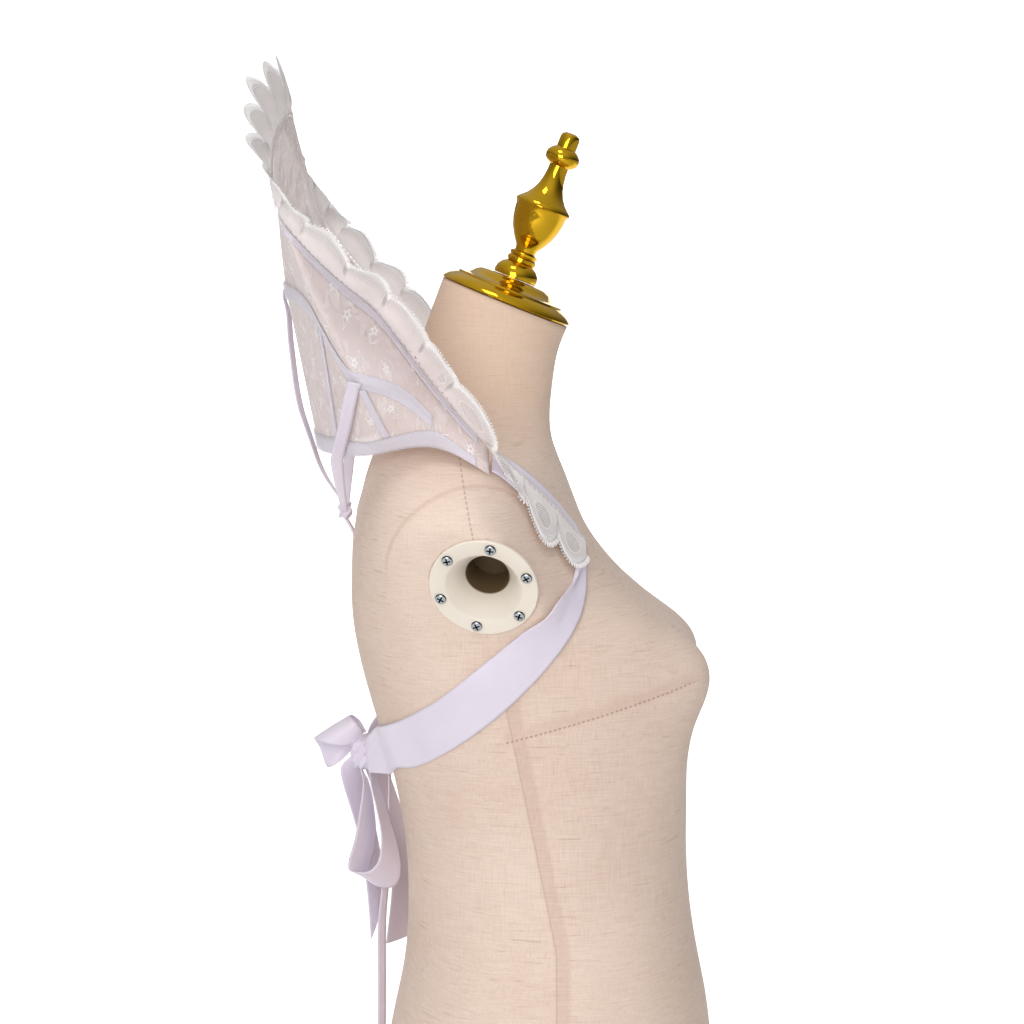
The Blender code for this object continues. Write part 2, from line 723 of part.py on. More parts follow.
def make_bones(home):
    for word, side in (("right", 1), ("left", -1)):
        for n, (u_hoop, u_hem) in enumerate(BONES, 1):
            rows = []
            for i in range(6):
                u = side * (u_hem + (u_hoop - u_hem) * i / 5)
                low = row_at(u, 0, HEM_BAND_WIDTH + 5 * SEAM)
                high = row_at(u, HOOP_ROW, -HOOP_BAND_WIDTH / 2 - 2 * SEAM)
                row = low + (high - low) * i / 5
                speed = (place(*panel_point(u + 0.1, row)) - place(*panel_point(u - 0.1, row))).length / 0.2
                half = BONE_WIDTH / 2 / speed
                points = []
                for v in (u - half, u + half):
                    here, normal = panel_surface(v, row)
                    points.append(here + normal * 1.2 * LAYER)
                rows.append(points)
            cloth_object(f"bone_{word}_{n}", rows, "satin", home)


# Clearing one layer off another


def form_tree(torso):
    """A tree of the uncut form, for laying cloth on it."""
    bm = bmesh.new()
    bm.from_mesh(torso.data)
    tree = BVHTree.FromBMesh(bm)
    bm.free()
    return tree


def lift_off(tree, point, gap):
    """Moves a point straight off the form until it is at least the gap away."""
    near, normal, _, _ = tree.find_nearest(point)
    height = (point - near).dot(normal)
    return point + normal * (gap - height) if height < gap else point


def lay_on(tree, point, gap):
    """Moves a point straight to the gap above the form."""
    near, normal, _, _ = tree.find_nearest(point)
    return near + normal * gap


BETWEEN = [(f / 4, g / 4) for f in range(5) for g in range(5)]


def clear_between(tree, rows, gap):
    """Lifts the corners of any part of a grid that lies closer to the form between its points."""
    for _ in range(8):
        for row, onward in zip(rows, rows[1:]):
            for j in range(len(row) - 1):
                for f, g in BETWEEN:
                    middle = row[j].lerp(row[j + 1], g).lerp(onward[j].lerp(onward[j + 1], g), f)
                    near, normal, _, _ = tree.find_nearest(middle)
                    short = gap - (middle - near).dot(normal)
                    if short > 0:
                        for points in (row, onward):
                            for k in (j, j + 1):
                                points[k] = points[k] + normal * short


def push_out_of_knot(point, knot):
    """How far a point has to move to lie clear of a knot."""
    half = Vector(knot["half"]) * MM
    away = point - place(*knot["centre"])
    local = Vector((away.x / half.x, away.y / half.y, away.z / half.z))
    across = local.normalized()
    limit = 0.72 + 0.28 / max(abs(c) for c in across) + KNOT_CLEARANCE / min(half)
    return away * max(limit / local.length - 1, 0.0)


def clear_of_knot(rows, knot):
    """Moves a ribbon out of a knot that it comes from."""
    for _ in range(6):
        for row, onward in zip(rows, rows[1:]):
            for j in range(len(row) - 1):
                for f, g in BETWEEN:
                    middle = row[j].lerp(row[j + 1], g).lerp(onward[j].lerp(onward[j + 1], g), f)
                    push = push_out_of_knot(middle, knot)
                    if push.length > 0:
                        for points in (row, onward):
                            for k in (j, j + 1):
                                points[k] = points[k] + push


# The lace edging along the top edge


def top_point(u):
    return place(*along(WHOLE_TOP, u + TOP_MIDDLE))


def station_at(distance):
    """The station that lies a distance along the top edge from the centre back."""
    u, here, left = 0.0, top_point(0.0), distance
    while True:
        there = top_point(u + 0.02)
        step = (there - here).length
        if step > left or u > len(LACE_REACH) - 1.03:
            return min(u + 0.02 * left / step, len(LACE_REACH) - 1.0)
        left -= step
        u, here = u + 0.02, there


def lace_side_columns():
    """The station and the place within its scallop of each column, from the centre back on."""
    notches = [-LACE_NOTCHES[0]] + list(LACE_NOTCHES)
    columns = []
    for first, last in zip(notches, notches[1:]):
        for i in range(SCALLOP_STEPS):
            f = i / SCALLOP_STEPS
            distance = first + (last - first) * f
            if distance >= 0:
                columns.append((station_at(distance * MM), f))
    columns.append((station_at(notches[-1] * MM), 1.0))
    return columns


def lace_column(u, f, tree):
    """Points of the edging from its sewn edge out to its scalloped edge."""
    base = top_point(u)
    reach = along(WHOLE_REACH, u + TOP_MIDDLE)
    over = place(*reach[:3])
    travel = top_point(u + 0.1) - top_point(u - 0.1)
    outward = travel.cross(over).normalized()
    folded = smoothstep(*LACE_FOLDS_AT, abs(u))
    seat = panel_surface(math.copysign(min(abs(u), PANEL_END), u), PANEL_ROWS - 1)[1]
    edge_u = math.copysign(min(abs(u), PANEL_END), u)
    rise = place(*panel_point(edge_u, PANEL_ROWS - 1)) - place(*panel_point(edge_u, PANEL_ROWS - 1.2))
    at_corner = math.exp(-(((abs(u) - 6.1) / 0.5) ** 2))
    base = base + rise.normalized() * LACE_SEAM * (1 + at_corner) + seat * LACE_LIFT * folded
    bulge = math.sin(math.pi * f) ** 0.7
    length = NOTCH_SHARE + (1 - NOTCH_SHARE) * bulge
    points = []
    for v in LACE_ROWS:
        wave = reach[3] * MM * (bulge - 0.5) * v
        point = base + over * length * v + outward * wave
        if abs(u) > LACE_FOLDS_AT[0]:
            point = lift_off(tree, point, CHEST_LACE_HEIGHT)
        points.append(point)
    return points


def make_lace(home, tree):
    columns = lace_side_columns()
    right = [lace_column(u, f, tree) for u, f in columns]
    on_chest = next(i for i, (u, f) in enumerate(columns) if u > LACE_FOLDS_AT[1])
    folded = right[on_chest:]
    clear_between(tree, folded, CHEST_LACE_HEIGHT - 0.3 * MM)
    right[on_chest:] = folded
    left = [[Vector((-p.x, p.y, p.z)) for p in column] for column in right[:0:-1]]
    return cloth_object("lace_edging", left + right, "lace", home)


# The ribbons on the chest, round the back and down from the hoop


def make_chest_ribbon(word, side, tree, home):
    """It edges the collar on the chest and is folded into the strap at the tip."""
    rows = []
    for i in range(9):
        u = 14.7 + (17.6 - 14.7) * i / 8
        here = top_point(u)
        travel = top_point(u + 0.1) - top_point(u - 0.1)
        normal = tree.find_nearest(here)[1]
        across = travel.cross(normal).normalized()
        if across.x > 0:
            across = -across
        points = []
        for k in range(5):
            d = -CHEST_RIBBON_SHOWS + (CHEST_RIBBON_SHOWS + CHEST_RIBBON_UNDER) * k / 4
            points.append(here + across * d)
        rows.append(points)
    tip = STRAP_EDGES[0]
    lower, upper = place(*tip[3:]), place(*tip[:3])
    rows.append([lower.lerp(upper, k / 4) for k in range(5)])
    if side == LEFT:
        rows = [[Vector((-p.x, p.y, p.z)) for p in row] for row in rows]
    laid = [[lay_on(tree, p, CHEST_RIBBON_HEIGHT) for p in row] for row in rows]
    clear_between(tree, laid, CHEST_RIBBON_HEIGHT - 0.3 * MM)
    cloth_object(f"chest_ribbon_{word}", laid, "satin", home)


def make_strap(word, side, tree, home):
    on_form = ribbon_rows(STRAP_EDGES, side, 3, columns=5)[1:]
    rows = [[lay_on(tree, p, STRAP_HEIGHT) for p in row] for row in on_form]
    clear_between(tree, rows, STRAP_HEIGHT - 0.3 * MM)
    for row in STRAP_AT_BOW:
        first, second = place(*row[:3], side), place(*row[3:], side)
        rows.append([first.lerp(second, k / 4) for k in range(5)])
    clear_of_knot(rows, BOW_KNOT)
    cloth_object(f"strap_{word}", rows, "satin", home)


def make_ties(tree, home):
    for word, side in (("right", RIGHT), ("left", LEFT)):
        cloth_object(f"tie_{word}", ribbon_rows(SIDE_TIE_EDGES, side, 4, columns=2), "satin", home)
        tail = ribbon_rows(LONG_TAIL_EDGES, side, 3, columns=2)
        tail = [[lift_off(tree, p, STRAP_HEIGHT) for p in row] for row in tail]
        clear_between(tree, tail, STRAP_HEIGHT - 0.3 * MM)
        cloth_object(f"tie_tail_{word}", tail, "satin", home)
    cloth_object("tie_centre", ribbon_rows(CENTRE_TIE_EDGES, RIGHT, 4, columns=2), "satin", home)
    make_knot("tie_knot", TIE_KNOT, home)


def make_knot(name, knot, home):
    """A knot as a rounded box, pinched in round its middle."""
    bm = bmesh.new()
    bmesh.ops.create_cube(bm, size=2.0)
    bmesh.ops.subdivide_edges(bm, edges=bm.edges[:], cuts=3, use_grid_fill=True)
    out, back, up = knot["half"]
    for vert in bm.verts:
        x, y, z = vert.co
        rounded = vert.co.normalized()
        blend = 0.72 * rounded + 0.28 * vert.co
        pinch = 1.0 - 0.12 * math.exp(-((z / 0.45) ** 2))
        vert.co = Vector((blend.x * out * pinch, blend.y * back * pinch, blend.z * up)) * MM
    mesh = bpy.data.meshes.new(name)
    bm.to_mesh(mesh)
    bm.free()
    smooth_shading(mesh, 60)
    made = add_object(name, mesh, "satin", home)
    made.location = place(*knot["centre"])


def make_bow(home):
    make_knot("bow_knot", BOW_KNOT, home)
    loop = ribbon_rows(HANGING_LOOP_EDGES, RIGHT, 3, columns=4, crown=0.8 * MM)
    clear_of_knot(loop, BOW_KNOT)
    cloth_object("bow_loop_hanging", loop, "satin", home)
    raised = ribbon_rows(RAISED_LOOP_EDGES, RIGHT, 4, columns=4, crown=0.8 * MM)
    clear_of_knot(raised, BOW_KNOT)
    cloth_object("bow_loop_raised", raised, "satin", home)
    near = ribbon_rows(NEAR_TAIL_EDGES, RIGHT, 3, columns=5, crown=1.5 * MM)
    clear_of_knot(near, BOW_KNOT)
    for column, share in ((1, 0.5), (2, 1.0), (3, 0.5)):
        near[-1][column].z += V_CUT * share
        near[-2][column].z += V_CUT * share * 0.6
        near[-3][column].z += V_CUT * share * 0.2
    cloth_object("bow_tail_near", near, "satin", home)
    far = ribbon_rows(FAR_TAIL_EDGES, RIGHT, 3, columns=4, crown=1.2 * MM)
    clear_of_knot(far, BOW_KNOT)
    cloth_object("bow_tail_far", far, "satin", home)


def main():
    empty_file()
    home = new_collection("collar_on_dress_form")
    cutters = new_collection("cutters")
    torso = make_form(home)
    head = screw_head_mesh()
    for word, side in (("right", RIGHT), ("left", LEFT)):
        frame = make_socket_plate(f"socket_plate_{word}", side, torso, home, cutters)
        make_screws(word, frame, head, home)
    make_neck_cap(home)
    make_panel(home)
    make_bands(home)
    make_bones(home)
    tree = form_tree(torso)
    make_lace(home, tree)
    for word, side in (("right", RIGHT), ("left", LEFT)):
        make_chest_ribbon(word, side, tree, home)
        make_strap(word, side, tree, home)
    make_ties(tree, home)
    make_bow(home)


main()
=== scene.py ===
# %% [markdown]
# # A standing lace collar on a dress form
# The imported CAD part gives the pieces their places. This scene gives them their looks: the sheer
# cloth, the lace, the satin, the linen cover and the gold, seen as the photograph shows them.

# %% Load the CAD part
import math

import bmesh
import bpy
import numpy as np
from mathutils import Matrix, Vector
from mathutils.bvhtree import BVHTree


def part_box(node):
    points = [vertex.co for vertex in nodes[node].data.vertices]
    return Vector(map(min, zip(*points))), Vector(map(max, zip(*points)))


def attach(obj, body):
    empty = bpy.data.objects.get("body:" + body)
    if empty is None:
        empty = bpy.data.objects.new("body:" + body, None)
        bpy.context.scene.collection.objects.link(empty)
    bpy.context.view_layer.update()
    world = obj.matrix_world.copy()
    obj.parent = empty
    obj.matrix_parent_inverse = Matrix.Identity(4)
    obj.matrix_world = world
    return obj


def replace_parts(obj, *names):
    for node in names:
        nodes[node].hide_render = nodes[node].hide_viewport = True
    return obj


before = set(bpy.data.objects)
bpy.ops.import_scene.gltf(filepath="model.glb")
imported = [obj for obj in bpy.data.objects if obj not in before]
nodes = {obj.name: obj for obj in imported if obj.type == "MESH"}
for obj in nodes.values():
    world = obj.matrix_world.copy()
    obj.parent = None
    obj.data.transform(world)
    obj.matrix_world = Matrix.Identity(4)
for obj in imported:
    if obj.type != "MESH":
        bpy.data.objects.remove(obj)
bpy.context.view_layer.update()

MM = 0.001
scene = bpy.context.scene
print("CAD nodes:", len(nodes))

# %% [markdown]
# ## Camera
# The photograph is taken from the wearer's right side, a little above the bust, and looks slightly
# down. A long lens gives the same flat view. The camera's place and pitch were found by laying
# renders over the photograph, which is surer than guessing a distance.

# %% Place the camera
CAMERA_PLACE = (-1.9, 0.0272, 0.7856)
CAMERA_PITCH = math.atan(274 / 2375)
LENS = 83.5
PICTURE_SIDE = 1024
SAMPLES = 160


def add(name, data):
    made = bpy.data.objects.new(name, data)
    scene.collection.objects.link(made)
    return made


camera = add("camera", bpy.data.cameras.new("camera"))
camera.data.lens = LENS
camera.location = CAMERA_PLACE
camera.rotation_euler = (math.pi / 2 - CAMERA_PITCH, 0, -math.pi / 2)
scene.camera = camera
scene.render.resolution_x = scene.render.resolution_y = PICTURE_SIDE
scene.render.engine = "CYCLES"
scene.cycles.samples = SAMPLES
scene.view_settings.view_transform = "Standard"
print("camera at", tuple(round(c, 3) for c in camera.location))

# %% [markdown]
# ## Floor and light
# The garment stands against plain white. Lamps strong enough to whiten the floor and the card
# behind it would burn out the cloth, so both glow a little by themselves. Two soft area lights are
# left for the cloth: a key light above it and a fill light beside the camera.

# %% Make the stage
WHITE = (0.9, 0.9, 0.9, 1)
CARDS = (
    # name, centre, its two half sides, own light
    ("floor", (0, 0, -0.5 * MM), (12, 0, 0), (0, 12, 0), 1.0),
    ("backdrop", (3.2, 0, 0.8), (0, 1.3, 0), (0, 0, 0.9), 0.95),
)
LIGHTS = (
    # name, place, target, size, power
    ("key", (-1.0, 0.1, 3.1), (0, 0, 0.6), 0.8, 13),
    ("fill", (-2.6, 0.6, 1.2), (0, 0, 0.5), 1.4, 32),
)


def plain_mesh(name, points, faces):
    mesh = bpy.data.meshes.new(name)
    mesh.from_pydata([Vector(p) for p in points], [], faces)
    return mesh


def card(name, centre, across, up, own_light):
    """A flat white card from its centre and its two half sides."""
    c, a, u = Vector(centre), Vector(across), Vector(up)
    corners = [c - a - u, c + a - u, c + a + u, c - a + u]
    made = add(name, plain_mesh(name, corners, [(0, 1, 2, 3)]))
    finish = white_material(f"{name}_white", own_light)
    made.data.materials.append(finish)
    return finish


def white_material(name, own_light):
    made = bpy.data.materials.new(name)
    made.use_nodes = True
    shader = made.node_tree.nodes["Principled BSDF"].inputs
    shader["Base Color"].default_value = WHITE
    shader["Roughness"].default_value = 0.9
    shader["Emission Color"].default_value = (1, 1, 1, 1)
    shader["Emission Strength"].default_value = own_light
    return made


def soft_light(name, place, target, size, power):
    light = bpy.data.lights.new(name, "AREA")
    light.size = size
    light.energy = power
    made = add(name, light)
    made.location = place
    made.rotation_euler = (Vector(target) - Vector(place)).to_track_quat("-Z", "Y").to_euler()


floor_white, _ = (card(*row) for row in CARDS)
for row in LIGHTS:
    soft_light(*row)
print("stage cards:", len(CARDS), "and soft lights:", len(LIGHTS))

# %% [markdown]
# ## Writing shaders as expressions
# Every pattern below is a formula on the place of a point. Wiring such formulas by hand, node by
# node, is slow to write and hard to read. So a term wraps a socket, and arithmetic on terms adds
# the Math nodes by itself.

# %% Terms


class Term:
    """A value in a node tree that can be added to, multiplied and compared like a number."""

    def __init__(self, net, socket):
        self.net, self.socket = net, socket

    def __rsub__(self, other):
        return self.net.maths("SUBTRACT", other, self)

    def in_steps_of(self, pitch):
        """How far the value lies from the middle of the repeat that it falls in."""
        return self.net.maths("FLOORED_MODULO", self, pitch) - pitch / 2

    def rising(self, low, high):
        """0 below low and 1 above high, with a soft step between them."""
        inputs = {"Value": self, "From Min": low, "From Max": high}
        return self.net.node("ShaderNodeMapRange", inputs, interpolation_type="SMOOTHSTEP")

    def line(self, width, soft=0.3):
        """1 where the value is within half the width of zero."""
        return 1 - abs(self).rising(width / 2 * (1 - soft), width / 2 * (1 + soft))


def one_node(operation):
    """A sum of a term and what comes after it, made as one Math node."""

    def result(self, *others):
        return self.net.maths(operation, self, *others)

    return result


TERM_SUMS = {
    "__add__": "ADD", "__radd__": "ADD", "__sub__": "SUBTRACT", "__mul__": "MULTIPLY",
    "__rmul__": "MULTIPLY", "__truediv__": "DIVIDE", "__pow__": "POWER", "__abs__": "ABSOLUTE",
    "cos": "COSINE", "least": "MINIMUM", "most": "MAXIMUM",
}
for method, operation in TERM_SUMS.items():
    setattr(Term, method, one_node(operation))
print("sums of terms:", len(TERM_SUMS) + 1)

# %% Nets of nodes


class Net:
    """The nodes of one material."""

    def __init__(self, tree):
        self.tree = tree

    def plug(self, value, socket):
        if isinstance(value, Term):
            self.tree.links.new(value.socket, socket)
        else:
            socket.default_value = value

    def node(self, kind, inputs=(), out=0, **settings):
        made = self.tree.nodes.new(kind)
        for name, value in settings.items():
            setattr(made, name, value)
        for name, value in dict(inputs).items():
            self.plug(value, made.inputs[name])
        return Term(self, made.outputs[out])

    def maths(self, operation, *values):
        made = self.tree.nodes.new("ShaderNodeMath")
        made.operation = operation
        for value, socket in zip(values, made.inputs):
            self.plug(value, socket)
        return Term(self, made.outputs[0])

    def parts(self, vector):
        made = self.tree.nodes.new("ShaderNodeSeparateXYZ")
        self.plug(vector, made.inputs[0])
        return [Term(self, out) for out in made.outputs]

    def vector(self, x, y, z=0.0):
        return self.node("ShaderNodeCombineXYZ", {"X": x, "Y": y, "Z": z})

    def noise(self, vector, scale, detail=2.0, distortion=0.0):
        inputs = {"Vector": vector, "Scale": scale, "Detail": detail, "Distortion": distortion}
        return self.node("ShaderNodeTexNoise", inputs)

    def mix(self, factor, first, second):
        inputs = {0: factor, 6: first, 7: second}
        return self.node("ShaderNodeMix", inputs, out=2, data_type="RGBA")

    def bump(self, height, strength, distance):
        inputs = {"Height": height, "Strength": strength, "Distance": distance}
        return self.node("ShaderNodeBump", inputs)

    def in_place(self):
        return self.parts(self.node("ShaderNodeTexCoord", out="Object"))

    def on_cloth(self, name):
        return self.parts(self.node("ShaderNodeUVMap", uv_map=name))


print("materials so far:", len(bpy.data.materials))

# %% Colours and materials


def rgb(red, green, blue):
    """A colour as a monitor shows it, from 0 to 255, turned into the renderer's linear colour."""
    linear = [((c / 255 + 0.055) / 1.055) ** 2.4 for c in (red, green, blue)]
    return (*linear, 1.0)


def material(name, **fixed):
    made = bpy.data.materials.new(name)
    made.use_nodes = True
    shader = made.node_tree.nodes["Principled BSDF"].inputs
    for socket, value in fixed.items():
        shader[socket.replace("_", " ")].default_value = value
    return made, Net(made.node_tree), shader


print("a mid grey of 128 in linear light:", round(rgb(128, 128, 128)[0], 3))

# %% [markdown]
# ## Sky
# One even white all round would leave the form flat and the gold without depth. Here the sky's
# strength depends on the way that one looks. It is white above and on the camera's side, and
# darker low down and to the front and back of the form, where it shades the form's edges and gives
# the gold its dark reflections.

# %% Make the sky
SKY_LIGHT = 0.62
LOW_SKY, HIGH_SKY, NEAR_SKY = 0.2, 0.8, 0.25
SHADE_IN_FRONT, SHADE_BEHIND = 0.58, 0.5
FLOOR_GLOW = 0.75


def studio_sky():
    world = bpy.data.worlds.new("studio")
    world.use_nodes = True
    net = Net(world.node_tree)
    way_x, way_y, way_z = net.parts(net.node("ShaderNodeTexCoord", out="Generated"))
    high = way_z.rising(-0.1, 0.75)
    front, behind = way_y.least(0.0), way_y.most(0.0)
    shade = 1 - front * front * SHADE_IN_FRONT - behind * behind * SHADE_BEHIND
    near = (way_x * -1).rising(0.2, 0.95)
    light = high * HIGH_SKY + near * NEAR_SKY + LOW_SKY
    background = world.node_tree.nodes["Background"].inputs
    background["Color"].default_value = (1, 1, 1, 1)
    net.plug(light * shade * SKY_LIGHT, background["Strength"])
    return world


def floor_glow():
    """The floor shines by itself only behind the form, so that it is as white as the backdrop."""
    net = Net(floor_white.node_tree)
    x, y, _ = net.in_place()
    glow = x.rising(-0.1, 0.45) * abs(y).rising(2.4, 1.3)
    colour = net.mix(glow, (0.0, 0.0, 0.0, 1.0), (FLOOR_GLOW, FLOOR_GLOW, FLOOR_GLOW, 1.0))
    shader = floor_white.node_tree.nodes["Principled BSDF"].inputs
    net.plug(colour, shader["Emission Color"])


scene.world = studio_sky()
floor_glow()
print("sky nodes:", len(scene.world.node_tree.nodes))

# %% [markdown]
# ## Linen cover
# The form has a cover of natural linen, with crossed threads, thicker slubs, faint stains and sewn
# seams. A picture of cloth wrapped round it would stretch on the curves. Here the threads are
# noises squeezed one way, and a seam is a line worked out from the place of a point. All of them
# read Object coordinates, so that they stay with the form. The soft dark band just above the bust
# seam is painted shadow, and the band of the seam round the arm cap is partly painted crease shade.

# %% Linen
PLATE_CENTRE = Vector((0.165, 0.0484, 0.5285))
PLATE_AXIS = Vector((0.893, 0.157, -0.42)).normalized()
STITCH_STEP = 3.6 * MM
CAP_SEAM_RADIUS = 76 * MM


def linen_threads(net, x, y, z):
    """The crossed threads, and the thicker ones among them, lying and upright."""
    weft = net.noise(net.vector(x * 60, y * 60, z * 1300), 1.0, 3)
    warp = net.noise(net.vector(x * 1200, y * 1200, z * 45), 1.0, 3)
    slubs = net.noise(net.vector(x * 34, y * 34, z * 620), 1.0, 2).rising(0.64, 0.74)
    uprights = net.noise(net.vector(x * 560, y * 560, z * 36), 1.0, 2).rising(0.66, 0.76)
    return weft, warp, slubs, uprights


def bust_seam(y, z):
    """A row of stitches that slopes down to the back under the bust, and the shade along it."""
    line = z - 0.4465 - (y + 0.118) * -0.27
    on_bust = y.rising(0.034, 0.031) * y.rising(-0.122, -0.105)
    stitches = line.line(0.0016) * y.in_steps_of(STITCH_STEP).line(0.002) * on_bust
    return stitches, (line - 0.004).line(0.009, 0.9) * on_bust


def side_seam(y, z, side):
    """A seam down the side that leans in at the waist, and the strip turned under behind it."""
    line = y - 0.031 + (0.43 - z).most(0.0) * 0.2 - (0.24 - z).most(0.0) * 0.2
    on_side = z.rising(0.475, 0.455) * side.rising(0.04, 0.05)
    return line.line(0.0012) * on_side, (line + 0.005).line(0.011, 0.4) * on_side


def arm_seams(y, z, side):
    """The seam round the plate, with painted crease shade, and stitches from the plate over the
    shoulder.
    """
    away = (side - PLATE_CENTRE.x) * (side - PLATE_CENTRE.x)
    away = away + (y - PLATE_CENTRE.y) * (y - PLATE_CENTRE.y)
    away = (away + (z - PLATE_CENTRE.z) * (z - PLATE_CENTRE.z)) ** 0.5
    arc = (away - CAP_SEAM_RADIUS).line(0.003, 0.8) * z.rising(0.52, 0.56) * side.rising(0.09, 0.1)
    shoulder = (y - 0.0552 - (z - 0.565) * 0.2).line(0.0013)
    shoulder = shoulder * z.rising(0.56, 0.566) * side.rising(0.07, 0.08)
    return arc, shoulder * z.in_steps_of(STITCH_STEP).line(0.0024)


def linen_material():
    made, net, shader = material("linen", Roughness=0.9, Specular_IOR_Level=0.2, Sheen_Weight=0.1)
    x, y, z = net.in_place()
    weft, warp, slubs, uprights = linen_threads(net, x, y, z)
    stains = net.noise(net.vector(x, y, z), 9.0, 3)
    bust_stitches, bust_shade = bust_seam(y, z)
    side_line, side_strip = side_seam(y, z, abs(x))
    arc, shoulder = arm_seams(y, z, abs(x))
    shade = (weft - 0.5) * 0.6 + (warp - 0.5) * 0.5 + slubs * 0.3 + uprights * 0.22
    shade = shade + (stains - 0.5) * 0.5 + 0.3
    colour = net.mix(shade, rgb(240, 221, 206), rgb(196, 162, 142))
    colour = net.mix(z.rising(0.60, 0.68) * 0.45, colour, rgb(232, 200, 170))
    # Soft bands: side seam allowance, and painted shade above the bust seam and round the arm cap.
    seam_bands_and_painted_shade = (bust_shade * 0.16).most(side_strip * 0.2).most(arc * 0.22)
    colour = net.mix(seam_bands_and_painted_shade, colour, rgb(186, 138, 120))
    dark_seams = (bust_stitches * 0.5).most(side_line * 0.22).most(shoulder * 0.4)
    colour = net.mix(dark_seams, colour, rgb(150, 108, 88))
    net.plug(colour, shader["Base Color"])
    height = weft * 0.5 + warp * 0.5 + slubs * 0.5 + uprights * 0.4 - dark_seams * 1.5
    net.plug(net.bump(height, 0.4, 0.0006), shader["Normal"])
    return made


linen = linen_material()
print("linen nodes:", len(linen.node_tree.nodes))

# %% [markdown]
# ## Gold, plate and steel
# The cap and finial are polished and plated, the socket plates are moulded plastic, and the screws
# are plated steel. Metal is mostly what it reflects, so that the gold needs only its colour and a
# low, slightly uneven roughness. Painted shade darkens the hole of a plate and the cross and foot of
# a screw, placed by where a point lies along and away from the plate's axis, which needs no image.

# %% Gold, plate and steel
BORE = 16 * MM


def gold_material():
    made, net, shader = material("gold", Metallic=1.0, Base_Color=rgb(212, 167, 36))
    x, y, z = net.in_place()
    wear = net.noise(net.vector(x, y, z), 90.0, 3)
    net.plug(0.04 + wear * 0.1, shader["Roughness"])
    return made


def from_plate(net):
    """How far a point lies along the nearer plate's axis, and away from that axis."""
    x, y, z = net.in_place()
    out, back, up = abs(x) - PLATE_CENTRE.x, y - PLATE_CENTRE.y, z - PLATE_CENTRE.z
    height = out * PLATE_AXIS.x + back * PLATE_AXIS.y + up * PLATE_AXIS.z
    return height, (out * out + back * back + up * up - height * height) ** 0.5


def plate_material():
    """Cream plastic, with painted shade inside the hole in its middle."""
    made, net, shader = material("socket_plate", Roughness=0.42)
    _, radius = from_plate(net)
    inside = radius.rising(BORE + 1.2 * MM, BORE + 0.3 * MM)
    net.plug(net.mix(inside, rgb(238, 228, 214), rgb(96, 78, 54)), shader["Base Color"])
    return made


def steel_material():
    """Plated steel, with painted shade in the cross and round the foot of each screw head."""
    made, net, shader = material("steel", Metallic=1.0, Roughness=0.26)
    height, _ = from_plate(net)
    top = max((v.co - PLATE_CENTRE).dot(PLATE_AXIS) for v in nodes["screw_left_1"].data.vertices)
    clear_of_painted_shade = height.rising(top - 1.0 * MM, top - 0.55 * MM)
    net.plug(net.mix(clear_of_painted_shade, rgb(14, 20, 26), rgb(192, 198, 202)), shader["Base Color"])
    return made


gold = gold_material()
socket_plate = plate_material()
steel = steel_material()
print("hard finishes:", gold.name, socket_plate.name, steel.name)

# %% [markdown]
# ## Satin
# The ribbons are a pale satin with a soft sheen and faint creases. A fixed, very weak light of its
# own stands for the daylight that comes through thin ribbon, which costs less than a shader that
# scatters light. The bands on the collar are thinner, and are made partly clear.

# %% Satin
RIBBON_GLOW = 0.07


def satin_material():
    glow = {"Emission_Color": rgb(240, 232, 242), "Emission_Strength": RIBBON_GLOW}
    made, net, shader = material("satin", Sheen_Weight=0.25, **glow)
    x, y, z = net.in_place()
    drift = net.noise(net.vector(x, y, z), 26.0, 2)
    threads = net.noise(net.vector(x * 900, y * 900, z * 900), 1.0, 2)
    colour = net.mix(drift, rgb(226, 218, 230), rgb(212, 202, 218))
    net.plug(colour, shader["Base Color"])
    net.plug(0.28 + threads * 0.16, shader["Roughness"])
    net.plug(net.bump(drift + threads * 0.03, 0.22, 0.006), shader["Normal"])
    return made


def sheer_satin_material():
    """The thin ribbon of the collar's bands and bones, which the light goes through."""
    made, net, shader = material("sheer_satin", Roughness=0.5, Sheen_Weight=0.2, Alpha=0.55)
    x, y, z = net.in_place()
    threads = net.noise(net.vector(x * 300, y * 300, z * 300), 1.0, 2)
    net.plug(net.mix(threads, rgb(250, 246, 253), rgb(234, 228, 242)), shader["Base Color"])
    return made


satin = satin_material()
sheer_satin = sheer_satin_material()
print("ribbon finishes:", satin.name, sheer_satin.name)

# %% [markdown]
# ## Sheer cloth
# Organza lets light through. Sprigs of five petals, small dots, leaves and thin curling stems are
# embroidered on it in closer thread. Real gaps between the threads would need millions of faces,
# so Alpha says how much of each spot is cloth. A Voronoi texture gives each sprig its own centre
# and its own turn.

# %% Organza
SPRIG_PITCH = 30 * MM
PETAL_REACH = 4.6 * MM
DOT_PITCH = 15 * MM
DOT_REACH = 1.9 * MM
STITCH_PITCH = 1.1 * MM
WEAVE_PITCH = 0.9 * MM
FULL_TURN = 6.28


def flowers(net, along, up, pitch, reach, petals, randomness):
    """Flowers spread over the cloth, each turned its own way, and how far each point is from one."""
    cells = net.tree.nodes.new("ShaderNodeTexVoronoi")
    cells.voronoi_dimensions = "2D"
    net.plug(net.vector(along / pitch, up / pitch), cells.inputs["Vector"])
    net.plug(1.0, cells.inputs["Scale"])
    net.plug(randomness, cells.inputs["Randomness"])
    centre_x, centre_y, _ = net.parts(Term(net, cells.outputs["Position"]))
    turn, _, _ = net.parts(Term(net, cells.outputs["Color"]))
    dx, dy = along - centre_x * pitch, up - centre_y * pitch
    away = (dx * dx + dy * dy) ** 0.5
    angle = net.maths("ARCTAN2", dy, dx) + turn * FULL_TURN
    edge = reach * (0.8 + 0.2 * (angle * petals).cos())
    flower = 1 - (away - edge).rising(-0.0006, 0.0006)
    eye = 1 - away.rising(0.0008, 0.0012)
    return flower * (1 - eye), away


